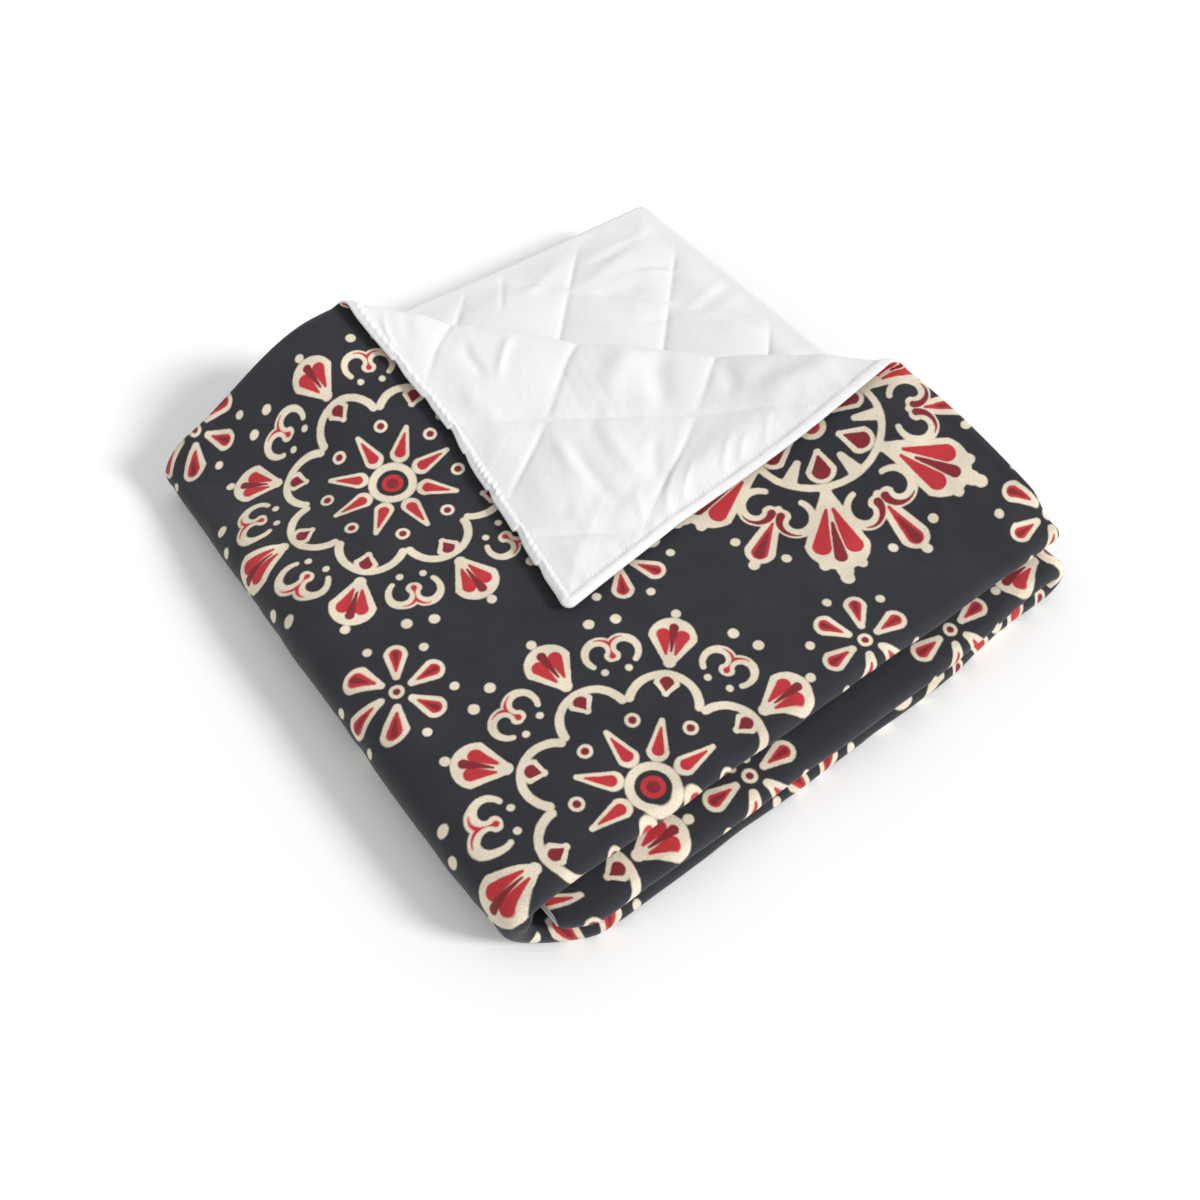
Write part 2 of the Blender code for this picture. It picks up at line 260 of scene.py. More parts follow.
# Stitches: the shares of their size they vary between, how open the white side has to be to
# show them, and the points of the lines they follow
STITCH_SIZES = ("Pitch", "Length", "Width", "Height")
STITCH_HEIGHT = 0.0007
STITCH_LEAST = (0.8, 0.85, 0.8)
STITCH_MOST = (1.1, 1.1, 1.2)
STITCHED_FROM = 0.95
GUIDE_STEP = 0.002
GUIDE_ROUNDS = 12
GUIDE_SHORTEST = 4

# Cells of the flat grid, halved from CELL where they are larger than wanted. The cell wanted
# grows by CELL_GROWTH of the distance from a zone
CELL = 0.0127
MEDIUM = CELL / 4
FINE = CELL / 8
FINEST = CELL / 16
HALVINGS = 4
CELL_GROWTH = 0.55
CELL_SLACK = 0.75

# Finishes. Sizes in metres. The threads, the nap and the twist are finer on the real cloth, and
# are drawn as coarse as they need to show
NAP_SIZE = 0.0011
NAP_HEIGHT = 0.0003
CLOUD_SIZE = 0.035
INK_WANDER_SIZE = 0.004
INK_WANDER = 0.0008
CRINKLE_SIZE = 0.006
CRINKLE_HEIGHT = 0.0006
THREAD_SPACING = 0.0012
THREAD_HEIGHT = 0.00004
TWIST_PITCH = 0.0008
TWIST_HEIGHT = 0.0001
WAVE_UNIT = 3.2
NOISE_MIDDLE = (0.5, 0.5, 0.5)

# The step for slopes, how near counts as on the edge, and millimetres in a metre
DIFFERENCE = 0.0002
SNAP = 1e-5
MILLIMETRES = 1000.0

# Where the grid is fine: a rectangle of the flat throw and its cell, and in some rows a slanted
# cut, past which s_share*s + u_share*u >= least
ZONE_COLUMNS = ("s_low", "s_high", "u_low", "u_high", "cell", "s_share", "u_share", "least")
UNCUT = (0, 0, 0.0)
HEM_BAND = 0.006
HEM_ZONES = (
    (0.0, HEM_BAND, 0.0, THROW_WIDTH, MEDIUM),
    (THROW_LENGTH - HEM_BAND, THROW_LENGTH, 0.0, THROW_WIDTH, MEDIUM),
    (0.0, THROW_LENGTH, 0.0, HEM_BAND, MEDIUM),
    (0.0, THROW_LENGTH, THROW_WIDTH - HEM_BAND, THROW_WIDTH, MEDIUM),
)
PRINT_ZONES = HEM_ZONES + (
    (0.0, 0.565, 0.0, 0.535, MEDIUM, 1, 1, 0.31),
    (0.0, THROW_LENGTH, 0.495, 0.540, MEDIUM),
    (1.02, 1.07, 0.0, 0.545, MEDIUM),
    (0.0, 0.34, 0.0, 0.010, FINE),
    (0.0, 0.010, 0.0, 0.34, FINE),
)
WHITE_ZONES = HEM_ZONES + (
    (0.0, 0.35, 0.0, 0.35, FINE, -1, -1, -0.345),
    (0.0, 0.345, 0.0, 0.011, FINEST),
    (0.0, 0.33, 0.69, THROW_WIDTH, FINE, -1, 1, 0.685),
)
INNER_ZONES = (
    (0.0, 0.34, 0.0, 0.34, MEDIUM, -1, -1, -0.345),
)

# Main creases of the white side, one by one: flat ends and bow, half width and height. Each
# end fades over one of CREASE_PARTS parts of the length
CREASE_PARTS = 3.0
CREASE_COLUMNS = ("s0", "u0", "s1", "u1", "bow", "width", "height")
WHITE_CREASES = (
    # The turned corner, its upper diamonds
    (0.300, 0.022, 0.262, 0.008, 0.003, 0.0026, 0.0013),
    (0.290, 0.040, 0.262, 0.022, 0.002, 0.0060, -0.0012),
    (0.243, 0.062, 0.200, 0.056, 0.004, 0.0055, -0.0020),
    (0.222, 0.100, 0.196, 0.060, 0.000, 0.0036, 0.0017),
    (0.150, 0.178, 0.128, 0.122, 0.003, 0.0110, 0.0030),
    (0.136, 0.196, 0.088, 0.158, 0.005, 0.0110, -0.0034),
    (0.215, 0.030, 0.165, 0.045, 0.003, 0.0080, 0.0014),
    (0.098, 0.226, 0.060, 0.206, -0.004, 0.0080, -0.0018),
    # Its diamond at the tip
    (0.142, 0.070, 0.062, 0.080, 0.006, 0.0060, 0.0018),
    (0.122, 0.078, 0.034, 0.092, 0.007, 0.0065, -0.0022),
    (0.124, 0.108, 0.040, 0.116, 0.005, 0.0070, 0.0019),
    (0.080, 0.140, 0.040, 0.122, 0.003, 0.0060, -0.0015),
    (0.070, 0.046, 0.036, 0.060, 0.002, 0.0070, 0.0010),
    # Beside its short hem
    (0.034, 0.020, 0.034, 0.290, 0.004, 0.0150, 0.0017),
    (0.050, 0.146, 0.009, 0.114, 0.003, 0.0034, 0.0010),
    (0.042, 0.156, 0.007, 0.130, 0.002, 0.0026, 0.0009),
    (0.050, 0.106, 0.012, 0.092, 0.001, 0.0036, 0.0006),
    (0.038, 0.190, 0.009, 0.168, 0.003, 0.0032, 0.0009),
    (0.030, 0.200, 0.008, 0.182, 0.002, 0.0026, 0.0008),
    (0.034, 0.226, 0.009, 0.206, 0.002, 0.0032, 0.0006),
    (0.014, 0.304, 0.050, 0.214, 0.006, 0.0090, 0.0020),
    (0.034, 0.286, 0.066, 0.226, 0.004, 0.0080, -0.0014),
    # The layer behind it
    (0.068, 0.942, 0.034, 0.920, 0.000, 0.0030, 0.0014),
    (0.076, 0.952, 0.030, 0.930, 0.000, 0.0050, -0.0012),
    (0.112, 0.974, 0.028, 0.986, 0.006, 0.0060, -0.0015),
    (0.140, 0.956, 0.050, 0.968, 0.004, 0.0070, 0.0012),
    (0.126, 0.942, 0.066, 0.926, 0.003, 0.0080, -0.0016),
    (0.112, 0.918, 0.062, 0.894, 0.002, 0.0140, 0.0014),
    (0.114, 0.888, 0.066, 0.882, 0.001, 0.0060, -0.0010),
    (0.066, 0.882, 0.004, 0.894, 0.003, 0.0046, 0.0006),
    (0.070, 0.874, 0.004, 0.884, 0.003, 0.0056, -0.0007),
    (0.066, 0.866, 0.002, 0.870, 0.004, 0.0060, 0.0006),
    (0.066, 0.980, 0.010, 0.990, 0.002, 0.0050, 0.0009),
    (0.190, 0.974, 0.112, 1.000, 0.008, 0.0060, 0.0010),
    (0.168, 1.012, 0.208, 0.958, 0.000, 0.0024, -0.0009),
    (0.064, 0.850, 0.008, 0.816, 0.004, 0.0120, 0.0012),
)
PRINT_CREASES = (
    # Soft dents of the printed side beside the turned corner and towards the folds
    (0.330, 0.040, 0.360, 0.150, 0.010, 0.0140, -0.0010),
    (0.060, 0.330, 0.160, 0.350, 0.008, 0.0140, -0.0010),
    (0.020, 0.420, 0.110, 0.470, 0.012, 0.0160, 0.0010),
    (0.300, 0.420, 0.440, 0.380, 0.015, 0.0180, -0.0009),
    (0.420, 0.200, 0.480, 0.320, 0.012, 0.0160, 0.0009),
)

# The printed ornament, in millimetres from a motif's middle, x along the axis of a petal.
# Each row is drawn once, mirrored, and repeated round the middle. A drop given by one end is a dot
DROP_COLUMNS = ("x0", "y0", "r0", "x1", "y1", "r1")
SCROLL_COLUMNS = ("x", "y", "radius", "opens", "start", "end", "width0", "width1")
LILY_PETALS = 6
LILY_DROPS = {
    "cream": (
        (0, 0, 10.0),
        (20, 0, 2.5, 34, 0, 10.5),
        (26, 15, 2.5, 38, 21.9, 5.0),
        (52, 0, 4.0, 90, 0, 22),
        (56, 0, 3.0, 113, 0, 5.5),
        (108, 12.5, 3.6),
        (119.5, 0, 4.6),
        (58, 33.5, 2.6, 90, 52, 10.5),
        (98, 36, 3.4),
        (101, 58.3, 3.8),
    ),
    "red": (
        (0, 0, 5.8),
        (64, 2.5, 1.2, 92, 10.8, 6.6),
        (68, 39.3, 1.0, 91, 52.5, 5.8),
    ),
    "dark_red": (
        (24, 0, 1.2, 35, 0, 6.6),
        (0, 0, 2.6),
        (74, 0, 1.2, 101, 0, 4.6),
        (76, 43.9, 0.8, 92, 53.1, 3.6),
    ),
}
LILY_SCROLLS = {
    "cream": (
        (0, 0, 47.5, 0.0, -60, 60, 2.5, 2.5),
        (68, 24.5, 11.0, -1.3, -150, 120, 2.0, 5.2),
    ),
    "dark_red": (
        (68, 24.5, 11.0, -1.3, -10, 118, 0.4, 3.1),
    ),
}
SUN_PETALS = 8
SUN_DROPS = {
    "cream": (
        (24, 0, 6.8, 45, 0, 1.8),
        (42.5, 17.6, 4.8),
        (64, 0, 2.4, 70, 0, 8.0),
        (86, 0, 4.0, 104, 0, 15.5),
        (79, 24.5, 2.4),
        (123, 0, 3.2),
        (113.5, 37.5, 3.6),
    ),
    "red": (
        (0, 0, 7.5),
        (25, 0, 4.0, 40, 0, 0.8),
        (92, 3.0, 1.0, 106, 6.0, 4.8),
    ),
    "dark_red": (
        (0, 0, 4.2),
        (42.5, 17.6, 2.6),
        (66, 0, 0.8, 71, 0, 4.6),
        (94, 0, 0.8, 112, 0, 3.2),
    ),
}
SUN_SCROLLS = {
    "cream": (
        (0, 0, 14, 0.0, -90, 90, 2.8, 2.8),
        (56, 0, 21.5, 0.0, -86, 86, 2.0, 2.9),
        (91.5, 30.5, 8.8, -0.9, -120, 140, 1.8, 4.3),
    ),
    "red": (
        (91.5, 30.5, 8.8, -0.9, 10, 138, 0.3, 2.3),
    ),
}
FLOWER_PETALS = 6
FLOWER_DROPS = {
    "cream": (
        (0, 0, 4.8),
        (11, 0, 2.6, 26, 0, 7.6),
        (30.5, 17.6, 3.0),
    ),
    "red": (
        (15, 0, 0.9, 26.5, 0, 4.3),
    ),
    "dark_red": (
        (0, 0, 2.4),
        (19, 0, 0.5, 27.5, 0, 2.0),
    ),
}
ORNAMENT_SCALE = 1.15
ORNAMENT_START = (45.0, 0.0, 0.0)
ROW_PITCH = 254.0
COLUMN_PITCH = 290.3
FLOWER_FROM_ROW = ROW_PITCH / 3
FAR = 1000.0
INKS = ("cream", "red", "dark_red")
SOFT_JOIN = {"cream": 2.5, "red": 0.6, "dark_red": 0.6}
PRINT_BLUR = 0.7

# Where a sheet's sides lie in the unit square for its baked finish: left, foot and scale
SHOWN_LAYOUT = (0.004, 0.004, 0.992)
BACK_LAYOUT = (0.004, 0.672, 0.44)
EDGE_LAYOUT = 0.97
EDGE_LAYOUT_ROW = 0.004

# Nodes: how they are set out in a tree, and the kinds used most
NODES_ABREAST = 16
NODE_SPACE = (200, -260)
MATHS = "ShaderNodeMath"
VECTORS = "ShaderNodeVectorMath"

# The camera, in fold coordinates, whose origin is the near corner of the pack
CAMERA_PLACE = (-0.1257, -0.2441, 0.7725)
CAMERA_FORWARD = (0.35366, 0.45675, -0.81627)
CAMERA_UP = (0.48693, 0.65520, 0.57759)
CAMERA_LENS = 36.04
CAMERA_SENSOR = 36.0

# The studio: a floor just under the throw, even light all round, and one soft key light from
# the near right
FLOOR_REACH = 6.0
FLOOR_Z = -0.0005
WORLD_LIGHT = 0.66
KEY_LIGHT = 2.3
KEY_FROM = (1.1, -1.4, 1.15)
KEY_SOFTNESS = 14.0


def smooth(value):
    """Rise smoothly from 0 to 1 as value goes from 0 to 1."""
    value = np.clip(value, 0.0, 1.0)
    return value * value * (3.0 - 2.0 * value)


def blend(start, end, amount):
    """The value that lies amount of the way from start to end."""
    return start + (end - start) * amount


def bowed(share):
    """0 at both ends of a length and 1 at its middle."""
    return 4.0 * share * (1.0 - share)


def fold_starts():
    """Where each third and fold begins along s, with the end of the last."""
    return np.cumsum([0.0] + [fold["flat"] for fold in FOLDS])


def pair_path(s):
    """Middle of the half-folded pair along s: x, z and the outward normal in x and z."""
    starts = fold_starts()
    share = [np.clip((s - start) / fold["flat"], 0.0, 1.0) for start, fold in zip(starts, FOLDS)]
    section = np.clip(np.searchsorted(starts, s, side="right") - 1, 0, len(FOLDS) - 1)
    low, middle, high = FLOOR_PAIR, FLOOR_PAIR + PAIR, FLOOR_PAIR + 2 * PAIR
    wrap = math.pi * share[1]
    bend = math.pi * share[3]
    x = np.choose(section, [
        blend(TOP_END_X, WRAP_X, share[0]),
        WRAP_X - PAIR * np.sin(wrap),
        blend(WRAP_X, BEND_X, share[2]),
        BEND_X + LAYER * np.sin(bend),
        blend(BEND_X, TUCK_END_X, share[4]),
    ])
    z = np.choose(section, [
        np.full_like(s, high),
        middle + PAIR * np.cos(wrap),
        np.full_like(s, low),
        low + LAYER * (1.0 - np.cos(bend)),
        np.full_like(s, middle),
    ])
    turn = math.pi + wrap + bend
    return x, z, np.sin(turn), -np.cos(turn)


def hem_lines(s):
    """Where the two hems lie across the pack, eased from one third to the next."""
    starts = fold_starts()
    middles = (starts[:-1] + starts[1:]) / 2
    outer = np.interp(s, middles, [fold["outer_hem_y"] for fold in FOLDS])
    inner = np.interp(s, middles, [fold["inner_hem_y"] for fold in FOLDS])
    return outer, inner


def half_fold(s, u):
    """Across the pair: y, and how far the cloth lies outside the pair's middle."""
    outer_hem, inner_hem = hem_lines(s)
    turn = math.pi * np.clip((u - OUTER_FLAT) / HALF_FOLD_FLAT, 0.0, 1.0)
    outer_share = np.clip((OUTER_FLAT - u) / OUTER_FLAT, 0.0, 1.0)
    inner_share = np.clip((u - INNER_START) / INNER_FLAT, 0.0, 1.0)
    reach = (outer_hem - FOLD_Y) * outer_share + (inner_hem - FOLD_Y) * inner_share
    return FOLD_Y + reach - LEG * np.sin(turn), LEG * np.cos(turn)


def far_corner(x, y):
    """Nearness to the far left corner of the pack, where its layers end and sink."""
    return smooth((FAR_CORNER_X - x) / FAR_CORNER_X) * smooth((y - FAR_CORNER_Y) / FAR_CORNER_LENGTH)


def press(x, y):
    """How much of its height the pack keeps at a place seen from above."""
    swell = np.sin(2 * math.pi * x / SWELL_X) * np.cos(2 * math.pi * y / SWELL_Y)
    return 1.0 - FAR_CORNER_SINK * far_corner(x, y) + SWELL * swell


def settle(x, y, z):
    """Bend the straight pack into the uneven one, layer over layer."""
    low = smooth((LOWER_FOLDS_TOP - z) / LOWER_FOLDS_BAND)
    along = smooth((x - LOWER_FOLDS_START) / LOWER_FOLDS_RISE)
    out = LOWER_FOLDS_OUT - LOWER_FOLDS_BACK * smooth((x - LOWER_FOLDS_BACK_X) / LOWER_FOLDS_BACK_LENGTH)
    near = NEAR_CORNER_SLOPE * np.maximum(NEAR_CORNER_Y - y, 0.0)
    new_x = x + near * np.clip(1.0 - x / NEAR_CORNER_FADE, 0.0, NEAR_CORNER_MOST)
    new_y = y - out * low * along * smooth(1.0 - y / LOWER_FOLDS_FADE)
    new_y = new_y - FAR_CORNER_PULL * far_corner(x, y)
    return new_x, new_y, z * press(x, y)


def crease_place(x, y):
    """Distance past the crease towards the corner, and along it from its middle."""
    return (x + y - CREASE_SUM) / math.sqrt(2), (x - y) / math.sqrt(2)


def lift(x, y):
    """How high the top layer is drawn up towards the crease."""
    past, along = crease_place(x, y)
    height = blend(LIFT_MIDDLE, LIFT_ENDS, np.clip(np.abs(along) / CREASE_HALF, 0.0, 1.0) ** 2)
    near = np.clip(1.0 + past / LIFT_REACH, 0.0, 1.0) ** LIFT_SHARPNESS
    return height * smooth(near) * smooth((y - FOLD_Y) / LIFT_FROM_FOLD)


def lift_under(x, y):
    """How high the layer under it follows, on the left behind the crease."""
    past, along = crease_place(x, y)
    near = np.clip(1.0 + past / LIFT_REACH, 0.0, 1.0) * smooth(1.0 - past / UNDER_LIFT_FADE)
    return UNDER_LIFT * near * smooth(-along / UNDER_LIFT_ALONG) * smooth((y - FOLD_Y) / LIFT_FROM_FOLD)


def top_layer(x, y):
    """The top layer's middle before its corner is turned back, from its place in the plan."""
    new_x, new_y, new_z = settle(x, y, np.full_like(x, FLOOR_PAIR + 2 * PAIR + LEG))
    return np.stack([new_x, new_y, new_z + lift(x, y)], axis=-1)


def unit(vectors):
    """The same directions, each of length 1."""
    return vectors / np.linalg.norm(vectors, axis=-1, keepdims=True)


def turned_corner(x, y):
    """The part of the top layer past the crease, rolled over and laid back on the rest."""
    past, along = crease_place(x, y)
    roll = np.clip(past / CREASE_RADIUS, 0.0, math.pi)
    back = -FLAP_STRETCH * np.maximum(past - math.pi * CREASE_RADIUS, 0.0)
    laid = smooth(-back / FLAP_NARROWS_BY)
    along = along * (1.0 - FLAP_NARROWS * laid) + FLAP_SHIFT * bowed(laid)
    foot_sum = CREASE_SUM + math.sqrt(2) * back
    foot_x = (foot_sum + math.sqrt(2) * along) / 2
    foot_y = (foot_sum - math.sqrt(2) * along) / 2
    foot = top_layer(foot_x, foot_y)
    to_x = top_layer(foot_x + DIFFERENCE, foot_y) - foot
    to_y = top_layer(foot_x, foot_y + DIFFERENCE) - foot
    up = unit(np.cross(to_x, to_y))
    forward = unit(to_x + to_y)
    height = blend(2 * CREASE_RADIUS, FLAP_REST, smooth(-back / FLAP_SETTLES))
    rise = height * (1.0 - np.cos(roll)) / 2
    ahead = CREASE_RADIUS * np.sin(roll)
    return foot + up * rise[:, None] + forward * ahead[:, None]


def cloth_middle(s, u):
    """Place of the middle of the cloth for each flat point."""
    path_x, path_z, normal_x, normal_z = pair_path(s)
    y, out = half_fold(s, u)
    x = path_x + out * normal_x
    z = path_z + out * normal_z
    places = np.stack(settle(x, y, z), axis=-1)
    unrolled = x - np.maximum(s - TOP_FLAT, 0.0)
    eased = 1.0 - smooth((s - TOP_FLAT) / LIFT_PAST_EDGE)
    raised = np.where(u < OUTER_FLAT, lift(unrolled, y), lift_under(unrolled, y)) * eased
    places[:, 0] += raised * normal_x
    places[:, 2] += raised * normal_z
    past, _ = crease_place(x, y)
    turned = (s < TOP_FLAT) & (u < OUTER_FLAT) & (past > 0.0)
    places[turned] = turned_corner(x[turned], y[turned])
    return places


def cloth_normals(s, u):
    """Direction from the white side to the printed side at each flat point."""
    along = cloth_middle(s + DIFFERENCE, u) - cloth_middle(s - DIFFERENCE, u)
    across = cloth_middle(s, u + DIFFERENCE) - cloth_middle(s, u - DIFFERENCE)
    return unit(np.cross(along, across))


def to_hem(s, u):
    """Flat distance to the nearest hem."""
    return np.minimum(np.minimum(s, THROW_LENGTH - s), np.minimum(u, THROW_WIDTH - u))


def on_flap(s, u):
    """1 on the turned corner, fading to 0 past its crease."""
    return smooth(1.0 + (CREASE_FLAT_SUM - s - u) / FLAP_FADE)


def open_white(s, u):
    """1 where the white side lies open: on the turned corner and on the layer behind it."""
    behind = smooth((u - s - OPEN_BEHIND) / OPEN_FADE) * smooth((TOP_FLAT - s) / OPEN_FADE)
    return np.maximum(on_flap(s, u), behind)


def quilting_turns(s, u):
    """Both families of stitched lines, as turns that are whole numbers on a line."""
    flap, terms = on_flap(s, u), np.stack([s, u, np.ones_like(s), s * s])
    first = blend(s + u, np.tensordot(FLAP_FIRST, terms, 1), flap)
    second = blend(u - s, np.tensordot(FLAP_SECOND, terms, 1), flap)
    return (first - 2 * HEM - STITCH_PLACE) / DIAMOND, (second - STITCH_PLACE) / DIAMOND


def puff(s, u):
    """Height of the quilting: 0 on the stitched lines and at the hems, 1 amid a diamond."""
    first, second = quilting_turns(s, u)
    pillow = np.abs(np.sin(math.pi * first)) * np.abs(np.sin(math.pi * second))
    return pillow ** PUFF_ROUNDNESS * smooth((to_hem(s, u) - HEM) / PUFF_FADE)


def seams(s, u):
    """1 on the stitched lines inside the hems, where the thread draws the cloth in."""
    total = np.zeros_like(s)
    for turns in quilting_turns(s, u):
        away = np.abs(turns - np.round(turns)) * DIAMOND / math.sqrt(2)
        total = np.maximum(total, np.exp(-(away / SEAM_WIDTH) ** 2))
    return total * smooth((to_hem(s, u) - HEM_STITCH) / HEM_STITCH)


def soft_noise(x, y, seed):
    """Smooth seeded noise from -1 to 1, with one value to each unit cell."""
    values = np.random.default_rng(seed).uniform(-1.0, 1.0, (NOISE_TABLE, NOISE_TABLE))
    column, row = np.floor(x).astype(int), np.floor(y).astype(int)
    right, up = smooth(x - column), smooth(y - row)
    left, next_column = column % NOISE_TABLE, (column + 1) % NOISE_TABLE
    foot, next_row = row % NOISE_TABLE, (row + 1) % NOISE_TABLE
    low = blend(values[left, foot], values[next_column, foot], right)
    high = blend(values[left, next_row], values[next_column, next_row], right)
    return blend(low, high, up)


def hand_creases(rows, s, u):
    """Soft ridges and troughs given one by one, each fading across itself and to its ends."""
    total = np.zeros_like(s)
    for row in rows:
        crease = dict(zip(CREASE_COLUMNS, row))
        along_s, along_u = crease["s1"] - crease["s0"], crease["u1"] - crease["u0"]
        length = math.hypot(along_s, along_u)
        to_s, to_u = s - crease["s0"], u - crease["u0"]
        share = (to_s * along_s + to_u * along_u) / length ** 2
        across = (to_u * along_s - to_s * along_u) / length
        across = across - crease["bow"] * bowed(share)
        fade = smooth(share * CREASE_PARTS) * smooth((1.0 - share) * CREASE_PARTS)
        total += crease["height"] * fade * np.exp(-(across / crease["width"]) ** 2)
    return total


def puckers(s, u, seed):
    """Small gathers square to the stitched lines, dying away from them."""
    total = np.zeros_like(s)
    first, second = quilting_turns(s, u)
    for turns, along in ((first, s - u), (second, s + u)):
        line = np.round(turns)
        away = np.abs(turns - line) * DIAMOND / math.sqrt(2)
        wave = soft_noise(along / math.sqrt(2) / PUCKER_PITCH, line * math.pi, seed)
        total += wave * np.exp(-away / PUCKER_REACH) * smooth(away / PUCKER_START)
    return total


def long_wrinkles(s, u, seed):
    """Long soft wrinkles that run askew over the diamonds."""
    total = np.zeros_like(s)
    for number, degrees in enumerate(WRINKLE_ANGLES):
        turn = math.radians(degrees)
        along = s * math.cos(turn) + u * math.sin(turn)
        sway = WRINKLE_SWAY * soft_noise(s / WRINKLE_LENGTH, u / WRINKLE_LENGTH, seed + WRINKLE_SWAY_SEED)
        across = u * math.cos(turn) - s * math.sin(turn) + sway
        wave = soft_noise(along / WRINKLE_LENGTH, across / WRINKLE_WIDTH, seed + number)
        total += wave * np.abs(wave)
    return total


def hem_roll(s, u):
    """Height of the soft roll between the edge and the hem's stitching."""
    inwards = to_hem(s, u)
    outside = np.sin(math.pi / 2 * np.clip(inwards / HEM_CREST, 0.0, 1.0))
    return outside * smooth((HEM_STITCH - inwards) / (HEM_STITCH - HEM_CREST))


def hem_groove(s, u):
    """1 along the hem's stitching, fading to both sides."""
    return np.exp(-((to_hem(s, u) - HEM_STITCH) / HEM_GROOVE_WIDTH) ** 2)


def ropy_hem(s, u):
    """Gathers across the long hem's stitching where it is turned back, fainter far along it."""
    none = np.zeros_like(s)
    drift = ROPE_DRIFT * soft_noise(s / ROPE_DRIFT_LENGTH, none, ROPE_DRIFT_SEED)
    turn = (s + ROPE_SLANT * u) / ROPE_PITCH + drift
    ridge = 0.5 + 0.5 * np.cos(2 * math.pi * turn)
    uneven = ROPE_MIDDLE + soft_noise(s / ROPE_UNEVEN_LENGTH, none, ROPE_HEIGHT_SEED)
    uneven = np.clip(uneven, ROPE_LEAST, 1.0)
    end = ROPE_END + ROPE_STRAYS * soft_noise(s / ROPE_UNEVEN_LENGTH, none, ROPE_END_SEED)
    band = smooth((u - ROPE_START) / ROPE_RISE) * smooth((end - u) / ROPE_RISE)
    eased = blend(1.0, ROPE_FAR, smooth((s - ROPE_NEAR) / ROPE_NEAR))
    return ridge * uneven * band * eased * smooth((ROPE_LENGTH - s) / ROPE_FADE)


def hem_puckers(s, u):
    """Fine gathers square to the short hem, running inwards from its stitching."""
    wave = soft_noise(u / HEM_PUCKER_PITCH, s / HEM_PUCKER_CHANGE, HEM_PUCKER_SEED)
    inside = smooth(2.0 * s / HEM_STITCH - 1.0)
    return wave * inside * np.exp(-np.maximum(s - HEM_STITCH, 0.0) / HEM_PUCKER_LENGTH)


def kept_height(s, u):
    """How much of its height the pack keeps over each flat point."""
    path_x, _, normal_x, _ = pair_path(s)
    y, out = half_fold(s, u)
    return press(path_x + out * normal_x, y)


def edge_thins(s, u):
    """Both cloths thin towards the very edge of the hem."""
    return EDGE_THINS * smooth(1.0 - to_hem(s, u) / EDGE_THINS_BY)


def on_floor(s, u):
    """Where the print lies face down, on the floor."""
    starts = fold_starts()
    return (s > starts[2] - SNAP) & (s < starts[3] + SNAP) & (u < OUTER_FLAT + SNAP)


def print_height(s, u, sizes):
    """How far the printed surface lies from the cloth's middle."""
    height = PRINT_SIDE + sizes.print_puff * puff(s, u)
    wrinkles = long_wrinkles(s, u, PRINT_WRINKLE_SEED)
    wrinkles = wrinkles + PRINT_PUCKERS * puckers(s, u, PRINT_PUCKER_SEED)
    height = height + sizes.print_wrinkles * wrinkles
    height = height + PRINT_HEM_ROLL * sizes.hem_roll * hem_roll(s, u)
    height = height - PRINT_HEM_GROOVE * HEM_GROOVE * hem_groove(s, u)
    height = height + hand_creases(PRINT_CREASES, s, u) - edge_thins(s, u)
    return np.where(on_floor(s, u), PRINT_SIDE, height) * kept_height(s, u)


def white_height(s, u, sizes):
    """How far the white surface lies from the cloth's middle, on the other side."""
    from_fold = np.abs(u - OUTER_FLAT - HALF_FOLD_FLAT / 2) - HALF_FOLD_FLAT / 2
    squeezed = 1.0 - FOLD_SQUEEZE * smooth(1.0 - from_fold / FOLD_SQUEEZE_FADE)
    shown, flap = open_white(s, u), on_flap(s, u)
    height = WHITE_SIDE + sizes.white_puff * puff(s, u) * squeezed * blend(PRESSED_PUFF, 1.0, shown)
    wrinkles = long_wrinkles(s, u, WHITE_WRINKLE_SEED)
    wrinkles = wrinkles + WHITE_PUCKERS * puckers(s, u, WHITE_PUCKER_SEED)
    height = height + sizes.white_wrinkles * wrinkles * shown * smooth(to_hem(s, u) / WRINKLE_FADE)
    height = height + hand_creases(WHITE_CREASES, s, u)
    hem = sizes.hem_roll * hem_roll(s, u) - HEM_GROOVE * hem_groove(s, u)
    height = height + hem * flap - SEAM_DEPTH * seams(s, u) * shown
    height = height + sizes.rope * ropy_hem(s, u) + sizes.hem_puckers * hem_puckers(s, u) * flap
    return height * kept_height(s, u) - edge_thins(s, u)


def print_back(s, u):
    """The smooth back of the printed cloth."""
    return (PRINT_SIDE - PRINT_THICKNESS + edge_thins(s, u)) * kept_height(s, u)


def white_back(s, u):
    """The smooth back of the white cloth and its wadding, just clear of the print's."""
    return print_back(s, u) - CLOTH_GAP


def base_lines():
    """Lines of the coarsest flat grid: along the throw and across it."""
    along = [0.0]
    for fold in FOLDS:
        steps = fold["steps"] or math.ceil(fold["flat"] / CELL)
        along += [along[-1] + fold["flat"] / steps * (step + 1) for step in range(steps)]
    along[-1] = THROW_LENGTH
    outer = np.linspace(0.0, OUTER_FLAT, math.ceil(OUTER_FLAT / CELL) + 1)
    fold = np.linspace(OUTER_FLAT, INNER_START, HALF_FOLD_STEPS + 1)
    inner = np.linspace(INNER_START, THROW_WIDTH, math.ceil(INNER_FLAT / CELL) + 1)
    return along, [*outer, *fold[1:], *inner[1:]]


